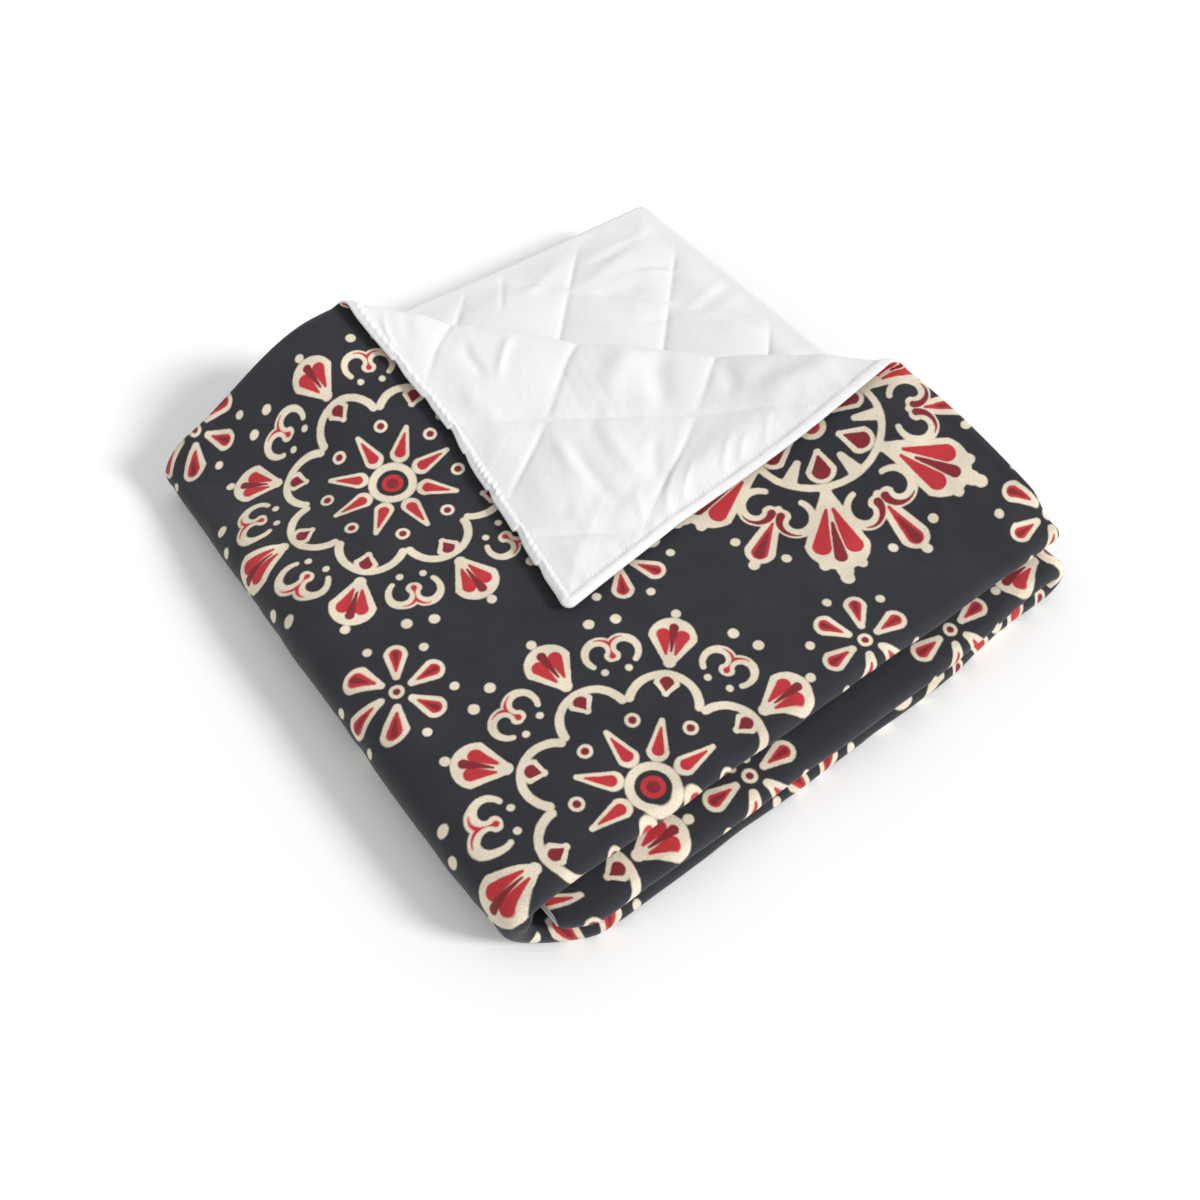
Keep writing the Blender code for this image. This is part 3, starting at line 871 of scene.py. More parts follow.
def wanted_cell(zones, s, u):
    """Size of the cells wanted at a flat place: that of a zone, growing with distance from it."""
    wanted = CELL
    for row in zones:
        zone = dict(zip(ZONE_COLUMNS, row + UNCUT))
        slant = zone["least"] - zone["s_share"] * s - zone["u_share"] * u
        away = max(zone["s_low"] - s, s - zone["s_high"], zone["u_low"] - u, u - zone["u_high"], slant, 0.0)
        wanted = min(wanted, zone["cell"] + CELL_GROWTH * away)
    return wanted


def flat_grid(zones, hem_zones):
    """The flat throw as s, u, faces and its border in order. Cells at the border follow hem_zones."""
    along, across = base_lines()
    bm = bmesh.new()
    grid = [[bm.verts.new((s, u, 0.0)) for u in across] for s in along]
    for row, next_row in zip(grid, grid[1:]):
        for index in range(len(across) - 1):
            bm.faces.new((row[index], next_row[index], next_row[index + 1], row[index + 1]))
    cell = CELL
    for _ in range(HALVINGS):
        edges = set()
        for face in bm.faces:
            middle = face.calc_center_median()
            at_border = any(edge.is_boundary for edge in face.edges)
            if wanted_cell(hem_zones if at_border else zones, middle.x, middle.y) < CELL_SLACK * cell:
                edges.update(face.edges)
        bmesh.ops.subdivide_edges(bm, edges=list(edges), cuts=1, use_grid_fill=True)
        cell = cell / 2
    bmesh.ops.triangulate(bm, faces=[face for face in bm.faces if len(face.verts) > 4])
    bm.verts.index_update()
    places = np.array([vert.co[:2] for vert in bm.verts])
    faces = [[vert.index for vert in face.verts] for face in bm.faces]
    border = {vert.index for edge in bm.edges if edge.is_boundary for vert in edge.verts}
    bm.free()
    border = sorted(border, key=lambda index: place_round_edge(*places[index]))
    return places[:, 0], places[:, 1], faces, border


def place_round_edge(s, u):
    """How far round the edge of the flat throw a point on it lies."""
    if u < SNAP:
        return s
    if s > THROW_LENGTH - SNAP:
        return THROW_LENGTH + u
    if u > THROW_WIDTH - SNAP:
        return 2 * THROW_LENGTH + THROW_WIDTH - s
    return 2 * THROW_LENGTH + 2 * THROW_WIDTH - u


def round_corners(s, u):
    """Draw the flat throw's four square corners in to round ones."""
    low_s, low_u = np.minimum(s, THROW_LENGTH - s), np.minimum(u, THROW_WIDTH - u)
    from_s, from_u = np.maximum(CORNER_ROUND - low_s, 0.0), np.maximum(CORNER_ROUND - low_u, 0.0)
    square = np.maximum(from_s, from_u)
    share = np.where(square > 0.0, square / np.maximum(np.hypot(from_s, from_u), SNAP * SNAP), 1.0)
    new_s, new_u = low_s + from_s * (1.0 - share), low_u + from_u * (1.0 - share)
    new_s = np.where(s > THROW_LENGTH / 2, THROW_LENGTH - new_s, new_s)
    return new_s, np.where(u > THROW_WIDTH / 2, THROW_WIDTH - new_u, new_u)


def pack_offset():
    """Where the fold coordinates' origin lies in the frame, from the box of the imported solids."""
    along, across = base_lines()
    s, u = (values.ravel() for values in np.meshgrid(along, across))
    middle, normals = cloth_middle(s, u), cloth_normals(s, u)
    kept = kept_height(s, u)
    printed = middle + normals * (PRINT_SIDE * kept)[:, None]
    white = middle - normals * (WHITE_SIDE * kept)[:, None]
    every = np.concatenate([printed, white])
    low, high = every.min(axis=0), every.max(axis=0)
    cad_low, cad_high = CAD_BOX
    return np.array([
        (cad_low.x + cad_high.x) / 2 - (low[0] + high[0]) / 2,
        (cad_low.y + cad_high.y) / 2 - (low[1] + high[1]) / 2,
        cad_low.z,
    ])


def waved_rim(s, u):
    """Draw the turned long hem in a little here and there, as unevenly as it is gathered."""
    wave = RIM_WAVE * (0.5 + 0.5 * soft_noise(s / RIM_WAVE_PITCH, np.zeros_like(s), RIM_WAVE_SEED))
    for row in RIM_NOTCHES:
        notch = dict(zip(RIM_NOTCH_COLUMNS, row))
        before = (notch["s"] - s) / notch["length"]
        wave = wave + notch["depth"] * smooth(1.0 - before) * smooth(1.0 + before * RIM_NOTCH_STEEP)
    wave = wave * smooth((ROPE_LENGTH - s) / ROPE_FADE)
    return s, u + wave * smooth(1.0 - u / RIM_WAVE_DEPTH)


def carried(s, u, height):
    """Flat points carried to their places in the folds, at a height above the cloth's middle."""
    s, u = waved_rim(*round_corners(s, u))
    places = cloth_middle(s, u) + cloth_normals(s, u) * height[:, None]
    places[:, 2] = np.maximum(places[:, 2], 0.0)
    return places


def edge_direction(s, u):
    """Direction out of the cloth, along it, at points of its edge."""
    s, u = round_corners(s, u)
    inner_s = np.clip(s, CORNER_ROUND, THROW_LENGTH - CORNER_ROUND)
    inner_u = np.clip(u, CORNER_ROUND, THROW_WIDTH - CORNER_ROUND)
    return unit(cloth_middle(s, u) - cloth_middle(inner_s, inner_u))


def edge_rows(top, bottom, levels_top, levels_bottom, outward):
    """Rows of points that round the edge from the top border to the bottom one, both included."""
    rows = []
    for row in range(EDGE_ROWS + 2):
        share = row / (EDGE_ROWS + 1)
        level = (blend(levels_top, levels_bottom, share) - EDGE_MIDDLE) / EDGE_HALF
        bulge = EDGE_ROUND * np.sqrt(np.clip(1.0 - level ** 2, 0.0, 1.0))
        places = blend(top, bottom, share) + outward * bulge[:, None]
        places[:, 2] = np.maximum(places[:, 2], 0.0)
        rows.append(places)
    return rows


def new_object(name, data):
    """A new object in the scene, at the origin."""
    thing = bpy.data.objects.new(name, data)
    bpy.context.scene.collection.objects.link(thing)
    return thing


def sheet_mesh(name, top, top_height, bottom, bottom_height, shown_side):
    """A closed sheet between two sides, each with its own grid, joined round the edge."""
    offset = pack_offset()
    top_s, top_u, top_faces, top_border = top
    low_s, low_u, low_faces, low_border = bottom
    assert len(top_border) == len(low_border), "both sides need the same border"
    top_level, low_level = top_height(top_s, top_u), bottom_height(low_s, low_u)
    top_places = carried(top_s, top_u, top_level)
    low_places = carried(low_s, low_u, low_level)
    outward = edge_direction(top_s[top_border], top_u[top_border])
    rows = edge_rows(top_places[top_border], low_places[low_border],
                     top_level[top_border], low_level[low_border], outward)
    top_places[top_border], low_places[low_border] = rows[0], rows[-1]
    count, first = len(top_s), len(top_s) + len(low_s)
    faces = list(top_faces) + [[count + index for index in reversed(face)] for face in low_faces]
    rings = [np.array(top_border)]
    rings += [first + step * len(top_border) + np.arange(len(top_border)) for step in range(EDGE_ROWS)]
    rings += [count + np.array(low_border)]
    for ring, next_ring in zip(rings, rings[1:]):
        corners = np.stack([np.roll(ring, -1), ring, next_ring, np.roll(next_ring, -1)], axis=-1)
        faces += corners.tolist()
    places = np.concatenate([top_places, low_places, *rows[1:-1]]) + offset
    flat_s = np.concatenate([top_s, low_s, np.tile(top_s[top_border], EDGE_ROWS)])
    flat_u = np.concatenate([top_u, low_u, np.tile(top_u[top_border], EDGE_ROWS)])
    mesh = bpy.data.meshes.new(name)
    mesh.from_pydata(places.tolist(), [], faces)
    mesh.shade_smooth()
    corners = np.empty(len(mesh.loops), dtype=np.int32)
    mesh.loops.foreach_get("vertex_index", corners)
    flat = np.stack([flat_s, flat_u], axis=-1)[corners]
    mesh.uv_layers.new(name="flat").data.foreach_set("uv", flat.ravel())
    top_corners = sum(len(face) for face in top_faces)
    low_corners = sum(len(face) for face in low_faces)
    baked = sheet_layout(flat, top_corners, low_corners, len(top_border), shown_side)
    mesh.uv_layers.new(name="OFBake").data.foreach_set("uv", baked.ravel())
    return new_object(name, mesh)


def sheet_layout(flat, top_corners, low_corners, border, shown_side):
    """Lay both sides and the edge of a sheet out in the unit square, the shown side the largest."""
    sizes = (SHOWN_LAYOUT, BACK_LAYOUT) if shown_side == "top" else (BACK_LAYOUT, SHOWN_LAYOUT)
    places = flat.copy()
    sides = (slice(0, top_corners), slice(top_corners, top_corners + low_corners))
    for side, (left, foot, scale) in zip(sides, sizes):
        places[side] = (left, foot) + flat[side] * scale / THROW_LENGTH
    step = (np.arange(border) + 0.5) / border
    for row in range(EDGE_ROWS + 1):
        low, high = EDGE_LAYOUT + row * EDGE_LAYOUT_ROW, EDGE_LAYOUT + (row + 1) * EDGE_LAYOUT_ROW
        left, right = step - 0.5 / border, step + 0.5 / border
        corners = np.stack([right, np.full(border, low), left, np.full(border, low),
                            left, np.full(border, high), right, np.full(border, high)], axis=-1)
        first = top_corners + low_corners + row * 4 * border
        places[first:first + 4 * border] = corners.reshape(-1, 2)
    return places


def linear(colour):
    """Linear RGBA of an sRGB hex colour such as 2f3135."""
    parts = [int(colour[place:place + 2], 16) / 255 for place in (0, 2, 4)]
    return (*((part / 12.92 if part <= 0.04045 else ((part + 0.055) / 1.055) ** 2.4) for part in parts), 1.0)


def add(tree, kind, inputs=(), **settings):
    """Add a node with its settings and its inputs, which are values, sockets or other nodes."""
    node = tree.nodes.new(kind)
    row, column = divmod(len(tree.nodes), NODES_ABREAST)
    node.location = (column * NODE_SPACE[0], row * NODE_SPACE[1])
    for name, value in settings.items():
        setattr(node, name, value)
    for name, value in (inputs if isinstance(inputs, dict) else dict(enumerate(inputs))).items():
        value = value.outputs[0] if isinstance(value, bpy.types.Node) else value
        if isinstance(value, bpy.types.NodeSocket):
            tree.links.new(value, node.inputs[name])
        else:
            node.inputs[name].default_value = value
    return node


def new_material(name):
    """A material with an empty node tree."""
    material = bpy.data.materials.new(name)
    material.use_nodes = True
    material.node_tree.nodes.clear()
    return material


def finish_material(tree, shader_inputs):
    """End a material's tree with its one shader."""
    shader = add(tree, "ShaderNodeBsdfPrincipled", shader_inputs)
    add(tree, "ShaderNodeOutputMaterial", {"Surface": shader})


def drop_distance(tree, place, drop):
    """Distance to a drop: two round ends of their own radius and the taper between them."""
    start = (drop["x0"], drop["y0"], 0.0)
    axis = (drop["x1"] - drop["x0"], drop["y1"] - drop["y0"], 0.0)
    length = math.hypot(*axis)
    from_start = add(tree, VECTORS, (place, start), operation="SUBTRACT")
    if length == 0.0:
        away = add(tree, VECTORS, (from_start,), operation="LENGTH")
        return add(tree, MATHS, (away.outputs["Value"], drop["r0"]), operation="SUBTRACT")
    along = tuple(part / length ** 2 for part in axis)
    share = add(tree, VECTORS, (from_start, along), operation="DOT_PRODUCT")
    share = add(tree, "ShaderNodeClamp", (share.outputs["Value"],))
    nearest = add(tree, VECTORS, {0: axis, "Scale": share}, operation="SCALE")
    away = add(tree, VECTORS, (from_start, nearest), operation="DISTANCE")
    radius = add(tree, MATHS, (share, drop["r1"] - drop["r0"], drop["r0"]), operation="MULTIPLY_ADD")
    return add(tree, MATHS, (away.outputs["Value"], radius), operation="SUBTRACT")


def scroll_distance(tree, place, scroll):
    """Distance to a scroll: a tapered arc that opens or closes as it turns."""
    middle = math.radians((scroll["start"] + scroll["end"]) / 2)
    half = math.radians((scroll["end"] - scroll["start"]) / 2)
    offset = add(tree, VECTORS, (place, (scroll["x"], scroll["y"], 0.0)), operation="SUBTRACT")
    turned = add(tree, "ShaderNodeVectorRotate", {"Vector": offset, "Angle": -middle}, rotation_type="Z_AXIS")
    parts = add(tree, "ShaderNodeSeparateXYZ", (turned,))
    angle = add(tree, MATHS, (parts.outputs["Y"], parts.outputs["X"]), operation="ARCTAN2")
    angle = add(tree, "ShaderNodeClamp", {"Value": angle, "Min": -half, "Max": half})
    radius = add(tree, MATHS, (angle, scroll["opens"], scroll["radius"]), operation="MULTIPLY_ADD")
    out = add(tree, "ShaderNodeCombineXYZ", {"X": radius})
    nearest = add(tree, "ShaderNodeVectorRotate", {"Vector": out, "Angle": angle}, rotation_type="Z_AXIS")
    away = add(tree, VECTORS, (turned, nearest), operation="DISTANCE")
    taper = (scroll["width1"] - scroll["width0"]) / (2 * half)
    width = add(tree, MATHS, (angle, taper, (scroll["width0"] + scroll["width1"]) / 2),
                operation="MULTIPLY_ADD")
    return add(tree, MATHS, (away.outputs["Value"], width), operation="SUBTRACT")


def motif_distances(tree, place, petals, drops, scrolls):
    """Distance to each ink of a motif that is mirrored and repeated round its middle."""
    parts = add(tree, "ShaderNodeSeparateXYZ", (place,))
    away = add(tree, VECTORS, (place,), operation="LENGTH")
    angle = add(tree, MATHS, (parts.outputs["Y"], parts.outputs["X"]), operation="ARCTAN2")
    angle = add(tree, MATHS, (angle, math.pi / petals), operation="PINGPONG")
    out = add(tree, "ShaderNodeCombineXYZ", {"X": away.outputs["Value"]})
    petal = add(tree, "ShaderNodeVectorRotate", {"Vector": out, "Angle": angle}, rotation_type="Z_AXIS")
    distances = {}
    for ink in INKS:
        shapes = [(drop_distance, dict(zip(DROP_COLUMNS, row * 2))) for row in drops.get(ink, ())]
        shapes += [(scroll_distance, dict(zip(SCROLL_COLUMNS, row))) for row in scrolls.get(ink, ())]
        distances[ink] = FAR
        for distance, shape in shapes:
            distances[ink] = add(tree, MATHS, (distances[ink], distance(tree, petal, shape), SOFT_JOIN[ink]),
                                 operation="SMOOTH_MIN")
    return distances


def ornament(tree, flat, ground, inks):
    """The printed colour: medallions of two kinds in staggered rows, with flowers between them."""
    scaled = add(tree, VECTORS, (flat, (MILLIMETRES / ORNAMENT_SCALE,) * 3, ORNAMENT_START),
                 operation="MULTIPLY_ADD")
    parts = add(tree, "ShaderNodeSeparateXYZ", (scaled,))
    row = add(tree, MATHS, (parts.outputs["X"], ROW_PITCH), operation="DIVIDE")
    row = add(tree, MATHS, (row,), operation="FLOOR")
    odd = add(tree, MATHS, (row, 2.0), operation="MODULO")
    middle = add(tree, MATHS, (row, ROW_PITCH, ROW_PITCH / 2), operation="MULTIPLY_ADD")
    x = add(tree, MATHS, (parts.outputs["X"], middle), operation="SUBTRACT")
    shifted = add(tree, MATHS, (odd, COLUMN_PITCH / 2, parts.outputs["Y"]), operation="MULTIPLY_ADD")
    y = add(tree, MATHS, (shifted, COLUMN_PITCH / 2, -COLUMN_PITCH / 2), operation="WRAP")
    place = add(tree, "ShaderNodeCombineXYZ", {"X": x, "Y": y})
    aside = add(tree, VECTORS, (place,), operation="ABSOLUTE")
    between = add(tree, VECTORS, (aside, (FLOWER_FROM_ROW, COLUMN_PITCH / 2, 0.0)), operation="SUBTRACT")
    lily = motif_distances(tree, place, LILY_PETALS, LILY_DROPS, LILY_SCROLLS)
    sun = motif_distances(tree, place, SUN_PETALS, SUN_DROPS, SUN_SCROLLS)
    flower = motif_distances(tree, between, FLOWER_PETALS, FLOWER_DROPS, {})
    colour = ground
    for ink in INKS:
        medallion = add(tree, "ShaderNodeMix", {"Factor": odd, "A": lily[ink], "B": sun[ink]})
        nearest = add(tree, MATHS, (medallion, flower[ink]), operation="MINIMUM")
        mask = add(tree, "ShaderNodeMapRange",
                   {"Value": nearest, "From Min": PRINT_BLUR, "From Max": -PRINT_BLUR},
                   interpolation_type="SMOOTHSTEP")
        colour = add(tree, "ShaderNodeMix", {0: mask, 6: colour, 7: inks[ink]}, data_type="RGBA").outputs[2]
    return colour


def flat_place(tree):
    """The flat throw's own coordinates, in metres, so that a pattern follows the cloth."""
    return add(tree, "ShaderNodeUVMap", uv_map="flat")


def print_material(colours):
    """Brushed polyester microfibre, printed: matt, with soft print edges, a short nap that
    speckles every colour, and a faint sheen where it turns away."""
    material = new_material("printed_brushed_polyester")
    tree = material.node_tree
    flat = flat_place(tree)
    inks = {ink: (*getattr(colours, ink), 1.0) for ink in INKS}
    wander = add(tree, "ShaderNodeTexNoise", {"Vector": flat, "Scale": 1 / INK_WANDER_SIZE, "Detail": 2.0})
    wander = add(tree, VECTORS, (wander.outputs["Color"], NOISE_MIDDLE), operation="SUBTRACT")
    wandered = add(tree, VECTORS, (wander, (INK_WANDER,) * 3, flat), operation="MULTIPLY_ADD")
    colour = ornament(tree, wandered, (*colours.ground, 1.0), inks)
    cloud = add(tree, "ShaderNodeTexNoise", {"Vector": flat, "Scale": 1 / CLOUD_SIZE, "Detail": 3.0})
    nap = add(tree, "ShaderNodeTexNoise", {"Vector": flat, "Scale": 1 / NAP_SIZE, "Detail": 2.0,
                                           "Roughness": 0.7})
    cloud = add(tree, "ShaderNodeMapRange", {"Value": cloud, "From Min": 0.3, "From Max": 0.7,
                                             "To Min": 0.88, "To Max": 1.12})
    speckle = add(tree, "ShaderNodeMapRange", {"Value": nap, "From Min": 0.3, "From Max": 0.7,
                                               "To Min": 0.82, "To Max": 1.18})
    tint = add(tree, MATHS, (cloud, speckle), operation="MULTIPLY")
    colour = add(tree, VECTORS, {0: colour, "Scale": tint}, operation="SCALE")
    bump = add(tree, "ShaderNodeBump", {"Height": nap, "Strength": 0.5, "Distance": NAP_HEIGHT})
    finish_material(tree, {
        "Base Color": colour, "Roughness": 0.9, "Specular IOR Level": 0.25, "Sheen Weight": 0.15,
        "Sheen Roughness": 0.5, "Normal": bump})
    return material


def satin_material(colours):
    """Plain-woven white polyester, pressed smooth: a soft even gloss on very fine threads, with
    small crinkles where the wadding draws it in."""
    material = new_material("white_woven_polyester")
    tree = material.node_tree
    flat = flat_place(tree)
    cloud = add(tree, "ShaderNodeTexNoise", {"Vector": flat, "Scale": 1 / CLOUD_SIZE, "Detail": 3.0})
    tint = add(tree, "ShaderNodeMapRange", {"Value": cloud, "To Min": 0.97, "To Max": 1.0})
    colour = add(tree, VECTORS, {0: tuple(colours.white), "Scale": tint}, operation="SCALE")
    crinkle = add(tree, "ShaderNodeTexNoise", {"Vector": flat, "Scale": 1 / CRINKLE_SIZE, "Detail": 3.0,
                                               "Distortion": 0.4})
    folds = add(tree, "ShaderNodeBump", {"Height": crinkle, "Strength": 0.5, "Distance": CRINKLE_HEIGHT})
    turns = add(tree, VECTORS, {0: flat, "Scale": 2 * math.pi / THREAD_SPACING}, operation="SCALE")
    waves = add(tree, VECTORS, (turns,), operation="SINE")
    parts = add(tree, "ShaderNodeSeparateXYZ", (waves,))
    weave = add(tree, MATHS, (parts.outputs["X"], parts.outputs["Y"]), operation="MULTIPLY")
    bump = add(tree, "ShaderNodeBump", {"Height": weave, "Strength": 0.4, "Distance": THREAD_HEIGHT,
                                        "Normal": folds})
    finish_material(tree, {
        "Base Color": colour, "Roughness": 0.52, "Specular IOR Level": 0.3, "Sheen Weight": 0.1,
        "Normal": bump})
    return material


def thread_material(colours):
    """Spun polyester sewing thread: a fine slanted twist with a slight gloss."""
    material = new_material("white_polyester_thread")
    tree = material.node_tree
    place = add(tree, "ShaderNodeTexCoord").outputs["Object"]
    twist = add(tree, "ShaderNodeTexWave", {"Vector": place, "Scale": 1 / TWIST_PITCH / WAVE_UNIT},
                bands_direction="DIAGONAL")
    bump = add(tree, "ShaderNodeBump", {"Height": twist, "Strength": 0.4, "Distance": TWIST_HEIGHT})
    finish_material(tree, {"Base Color": (*colours.white_thread, 1.0), "Roughness": 0.45, "Normal": bump})
    return material


class ThrowSizes(bpy.types.PropertyGroup):
    """Sizes of the throw's surface"""
    print_puff: bpy.props.FloatProperty(
        name="Print puff", description="Height of the quilting on the printed side",
        default=0.0010, unit="LENGTH", precision=4)
    white_puff: bpy.props.FloatProperty(
        name="White puff", description="Height of the quilting on the white side",
        default=0.0048, unit="LENGTH", precision=4)
    print_wrinkles: bpy.props.FloatProperty(
        name="Print wrinkles", description="Height of the wrinkles on the printed side",
        default=0.0006, unit="LENGTH", precision=4)
    white_wrinkles: bpy.props.FloatProperty(
        name="White wrinkles", description="Height of the wrinkles on the white side",
        default=0.0006, unit="LENGTH", precision=4)
    hem_roll: bpy.props.FloatProperty(
        name="Hem roll", description="Height of the soft roll along the hems",
        default=0.0010, unit="LENGTH", precision=4)
    rope: bpy.props.FloatProperty(
        name="Ropy hem", description="Height of the gathers in the turned long hem",
        default=0.0013, unit="LENGTH", precision=4)
    hem_puckers: bpy.props.FloatProperty(
        name="Hem puckers", description="Height of the gathers beside the turned short hem",
        default=0.0007, unit="LENGTH", precision=4)
    stitch_pitch: bpy.props.FloatProperty(
        name="Stitch pitch", description="From one stitch to the next",
        default=0.0040, unit="LENGTH", precision=4)
    stitch_length: bpy.props.FloatProperty(
        name="Stitch length", description="Length of thread that shows of a stitch",
        default=0.0027, unit="LENGTH", precision=4)
    stitch_width: bpy.props.FloatProperty(
        name="Stitch width", description="Width of the thread",
        default=0.0008, unit="LENGTH", precision=4)


class ThrowColours(bpy.types.PropertyGroup):
    """Colours of the throw"""
    white: bpy.props.FloatVectorProperty(
        name="White", description="The white backing", subtype="COLOR",
        default=linear("e9e9ea")[:3], min=0.0, max=1.0)
    white_thread: bpy.props.FloatVectorProperty(
        name="White thread", description="Thread of the quilting and the hem", subtype="COLOR",
        default=linear("f0f0f1")[:3], min=0.0, max=1.0)
    ground: bpy.props.FloatVectorProperty(
        name="Ground", description="The print's dark ground", subtype="COLOR",
        default=linear("2b2c31")[:3], min=0.0, max=1.0)
    cream: bpy.props.FloatVectorProperty(
        name="Cream", description="The print's light ink", subtype="COLOR",
        default=linear("e0d4be")[:3], min=0.0, max=1.0)
    red: bpy.props.FloatVectorProperty(
        name="Red", description="The print's red ink", subtype="COLOR",
        default=linear("ba3138")[:3], min=0.0, max=1.0)
    dark_red: bpy.props.FloatVectorProperty(
        name="Dark red", description="The print's dark red ink", subtype="COLOR",
        default=linear("80262c")[:3], min=0.0, max=1.0)


def dressed(thing, material, node):
    """Give a finished piece its material and its place in the frame."""
    thing.data.materials.append(material)
    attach(thing, BODY)
    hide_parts(node)


class THROW_OT_printed_face(bpy.types.Operator):
    """Make the printed cloth"""
    bl_idname = "throw.printed_face"
    bl_label = "Printed face"

    def execute(self, context):
        sizes, colours = context.scene.throw_sizes, context.scene.throw_colours
        thing = sheet_mesh(
            "printed_cloth_face",
            flat_grid(PRINT_ZONES, PRINT_ZONES), lambda s, u: print_height(s, u, sizes),
            flat_grid(INNER_ZONES, PRINT_ZONES), print_back,
            "top")
        dressed(thing, print_material(colours), "printed_face")
        return {"FINISHED"}


class THROW_OT_white_backing(bpy.types.Operator):
    """Make the white cloth with its quilting"""
    bl_idname = "throw.white_backing"
    bl_label = "White backing"

    def execute(self, context):
        sizes, colours = context.scene.throw_sizes, context.scene.throw_colours
        thing = sheet_mesh(
            "white_cloth_backing",
            flat_grid(INNER_ZONES, WHITE_ZONES), white_back,
            flat_grid(WHITE_ZONES, WHITE_ZONES), lambda s, u: -white_height(s, u, sizes),
            "bottom")
        dressed(thing, satin_material(colours), "white_backing")
        return {"FINISHED"}


def hem_guides():
    """Flat lines of the hems' stitching, one along each edge of the throw."""
    low, far_s, far_u = HEM_STITCH, THROW_LENGTH - HEM_STITCH, THROW_WIDTH - HEM_STITCH
    corners = [(low, low), (far_s, low), (far_s, far_u), (low, far_u)]
    lines = []
    for start, end in zip(corners, corners[1:] + corners[:1]):
        count = math.ceil(math.dist(start, end) / GUIDE_STEP) + 1
        lines.append((np.linspace(start[0], end[0], count), np.linspace(start[1], end[1], count)))
    return lines


def quilting_guides():
    """Flat lines of the quilting's stitching, solved from the turns that are whole on them."""
    inside = np.arange(HEM_STITCH, THROW_WIDTH - HEM_STITCH, GUIDE_STEP)
    turns = range(-math.ceil(THROW_LENGTH / DIAMOND), math.ceil((THROW_LENGTH + THROW_WIDTH) / DIAMOND))
    lines = []
    for number in turns:
        for family, sign in ((0, 1.0), (1, -1.0)):
            s, u = np.zeros_like(inside), inside
            for _ in range(GUIDE_ROUNDS):
                s = s + sign * (number - quilting_turns(s, u)[family]) * DIAMOND
            lines.append((s, u))
    return lines


def line_parts(lines, keep):
    """Cut flat lines to the stretches where keep holds."""
    parts = []
    for s, u in lines:
        kept = keep(s, u)
        breaks = np.flatnonzero(np.diff(kept.astype(int))) + 1
        for piece_s, piece_u, held in zip(np.split(s, breaks), np.split(u, breaks), np.split(kept, breaks)):
            if held[0] and len(piece_s) >= GUIDE_SHORTEST:
                parts.append((piece_s, piece_u))
    return parts


def stitch_tree(material):
    """Stitches of thread along guide lines, which hold the cloth's outward direction."""
    tree = bpy.data.node_groups.new("stitches_along_lines", "GeometryNodeTree")
    tree.interface.new_socket("Lines", in_out="INPUT", socket_type="NodeSocketGeometry")
    for name in STITCH_SIZES:
        tree.interface.new_socket(name, in_out="INPUT", socket_type="NodeSocketFloat")
    tree.interface.new_socket("Stitches", in_out="OUTPUT", socket_type="NodeSocketGeometry")
    given = add(tree, "NodeGroupInput").outputs
    curves = add(tree, "GeometryNodeMeshToCurve", (given["Lines"],))
    points = add(tree, "GeometryNodeCurveToPoints", {"Curve": curves, "Length": given["Pitch"]},
                 mode="LENGTH")
    outward = add(tree, "GeometryNodeInputNamedAttribute", {"Name": "outward"}, data_type="FLOAT_VECTOR")
    facing = add(tree, "FunctionNodeAxesToRotation", (points.outputs["Tangent"], outward),
                 primary_axis="X", secondary_axis="Z")
    sizes = add(tree, "ShaderNodeCombineXYZ", (given["Length"], given["Width"], given["Height"]))
    uneven = add(tree, "FunctionNodeRandomValue", {"Min": STITCH_LEAST, "Max": STITCH_MOST,
                                                   "Seed": STITCH_SEED}, data_type="FLOAT_VECTOR")
    scale = add(tree, VECTORS, (sizes, uneven), operation="MULTIPLY")
    stitch = add(tree, "GeometryNodeMeshUVSphere", {"Segments": 6, "Rings": 4, "Radius": 0.5})
    stitch = add(tree, "GeometryNodeSetShadeSmooth", {"Geometry": stitch})
    laid = add(tree, "GeometryNodeInstanceOnPoints",
               {"Points": points, "Instance": stitch, "Rotation": facing, "Scale": scale})
    real = add(tree, "GeometryNodeRealizeInstances", {"Geometry": laid})
    finished = add(tree, "GeometryNodeSetMaterial", {"Geometry": real, "Material": material})
    add(tree, "NodeGroupOutput", {"Stitches": finished})
    return tree


def stitched(context, name, lines, material):
    """Sew stitches along flat lines on the white side of the throw, as one mesh."""
    sizes, offset = context.scene.throw_sizes, pack_offset()
    places, outwards, edges = [], [], []
    for s, u in lines:
        first = sum(len(part) for part in places)
        places.append(carried(s, u, -white_height(s, u, sizes)) + offset)
        outwards.append(-cloth_normals(s, u))
        edges += [(first + step, first + step + 1) for step in range(len(s) - 1)]
    mesh = bpy.data.meshes.new(name + "_lines")
    mesh.from_pydata(np.concatenate(places).tolist(), edges, [])
    outward = mesh.attributes.new("outward", "FLOAT_VECTOR", "POINT")
    outward.data.foreach_set("vector", np.concatenate(outwards).ravel())
    guide = new_object(name + "_lines", mesh)
    modifier = guide.modifiers.new("stitches", "NODES")
    modifier.node_group = stitch_tree(material)
    values = dict(zip(STITCH_SIZES, (sizes.stitch_pitch, sizes.stitch_length, sizes.stitch_width,
                                     STITCH_HEIGHT)))
    for item in modifier.node_group.interface.items_tree:
        if item.name in values:
            modifier[item.identifier] = values[item.name]
    evaluated = guide.evaluated_get(context.evaluated_depsgraph_get())
    thing = new_object(name, bpy.data.meshes.new_from_object(evaluated))
    thing.data.name = name
    bpy.data.objects.remove(guide)
    return thing


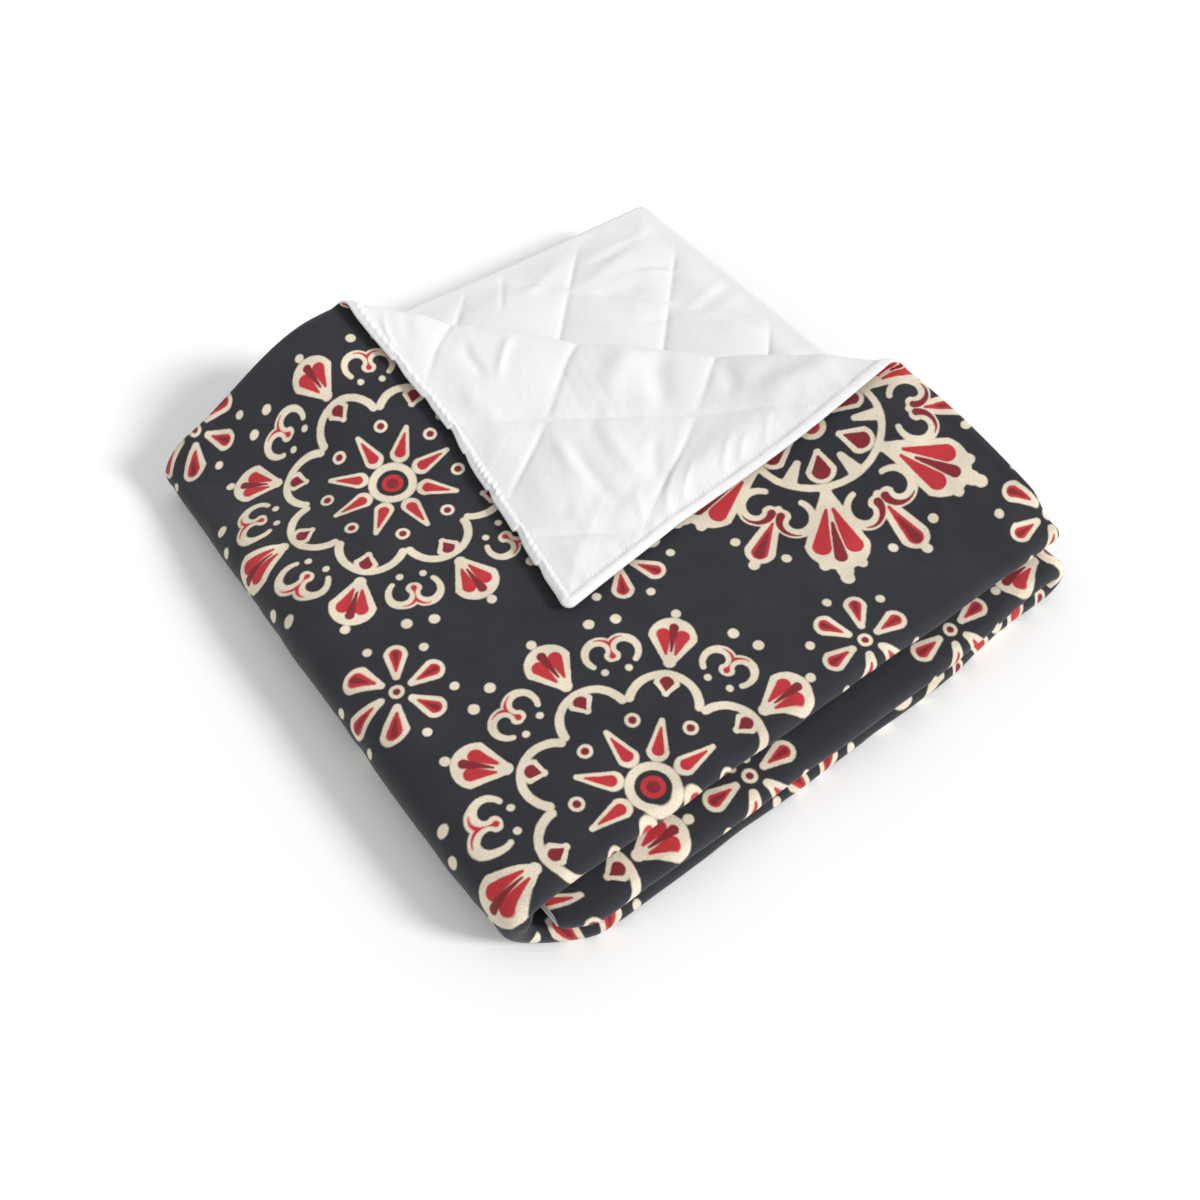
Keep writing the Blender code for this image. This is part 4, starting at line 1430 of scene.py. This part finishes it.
class THROW_OT_white_stitches(bpy.types.Operator):
    """Sew the white side's stitching, where that side lies open"""
    bl_idname = "throw.white_stitches"
    bl_label = "White stitches"

    def execute(self, context):
        quilted = line_parts(
            quilting_guides(),
            lambda s, u: (to_hem(s, u) > HEM_STITCH) & (open_white(s, u) > STITCHED_FROM))
        hemmed = line_parts(hem_guides(), lambda s, u: on_flap(s, u) > STITCHED_FROM)
        material = thread_material(context.scene.throw_colours)
        thing = stitched(context, "white_side_stitches", quilted + hemmed, material)
        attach(thing, BODY)
        return {"FINISHED"}


class THROW_OT_studio(bpy.types.Operator):
    """Make the floor, the lamps and the camera"""
    bl_idname = "throw.studio"
    bl_label = "Studio"

    def execute(self, context):
        mesh = bpy.data.meshes.new("floor")
        signs = ((-1, -1), (1, -1), (1, 1), (-1, 1))
        corners = [(x * FLOOR_REACH, y * FLOOR_REACH, FLOOR_Z) for x, y in signs]
        mesh.from_pydata(corners, [], [range(len(corners))])
        floor = new_object("floor", mesh)
        material = new_material("pale_matte_paper")
        finish_material(material.node_tree, {"Base Color": linear("fdfdfd"), "Roughness": 0.95,
                                             "Specular IOR Level": 0.2})
        mesh.materials.append(material)
        world = bpy.data.worlds.new("studio")
        world.use_nodes = True
        background = world.node_tree.nodes["Background"].inputs
        background["Color"].default_value = (1.0, 1.0, 1.0, 1.0)
        background["Strength"].default_value = WORLD_LIGHT
        context.scene.world = world
        key = bpy.data.lights.new("key", "SUN")
        key.energy = KEY_LIGHT
        key.angle = math.radians(KEY_SOFTNESS)
        lamp = new_object("key", key)
        lamp.rotation_euler = Vector(KEY_FROM).to_track_quat("Z", "Y").to_euler()
        lens = bpy.data.cameras.new("camera")
        lens.lens = CAMERA_LENS
        lens.sensor_width = CAMERA_SENSOR
        camera = new_object("camera", lens)
        forward, up = Vector(CAMERA_FORWARD).normalized(), Vector(CAMERA_UP).normalized()
        right = forward.cross(up).normalized()
        turn = Matrix((right, right.cross(forward), -forward)).transposed().to_4x4()
        place = Vector(CAMERA_PLACE) + Vector(pack_offset().tolist())
        camera.matrix_world = Matrix.Translation(place) @ turn
        context.scene.camera = camera
        context.scene.view_settings.view_transform = "Standard"
        return {"FINISHED"}


class THROW_PT_panel(bpy.types.Panel):
    """Buttons for each piece of the throw"""
    bl_idname = "THROW_PT_panel"
    bl_label = "Folded quilted throw"
    bl_space_type = "VIEW_3D"
    bl_region_type = "UI"
    bl_category = "Throw"

    def draw(self, context):
        for operator in OPERATORS:
            self.layout.operator(operator.bl_idname)
        for group in (context.scene.throw_sizes, context.scene.throw_colours):
            for name in group.__annotations__:
                self.layout.prop(group, name)


OPERATORS = (THROW_OT_printed_face, THROW_OT_white_backing, THROW_OT_white_stitches, THROW_OT_studio)
CLASSES = (ThrowSizes, ThrowColours, *OPERATORS, THROW_PT_panel)


def register():
    for each in CLASSES:
        bpy.utils.register_class(each)
    bpy.types.Scene.throw_sizes = bpy.props.PointerProperty(type=ThrowSizes)
    bpy.types.Scene.throw_colours = bpy.props.PointerProperty(type=ThrowColours)


def unregister():
    del bpy.types.Scene.throw_colours
    del bpy.types.Scene.throw_sizes
    for each in reversed(CLASSES):
        bpy.utils.unregister_class(each)


def main():
    register()
    bpy.ops.throw.printed_face()
    bpy.ops.throw.white_backing()
    bpy.ops.throw.white_stitches()
    bpy.ops.throw.studio()


if __name__ == "__main__":
    main()
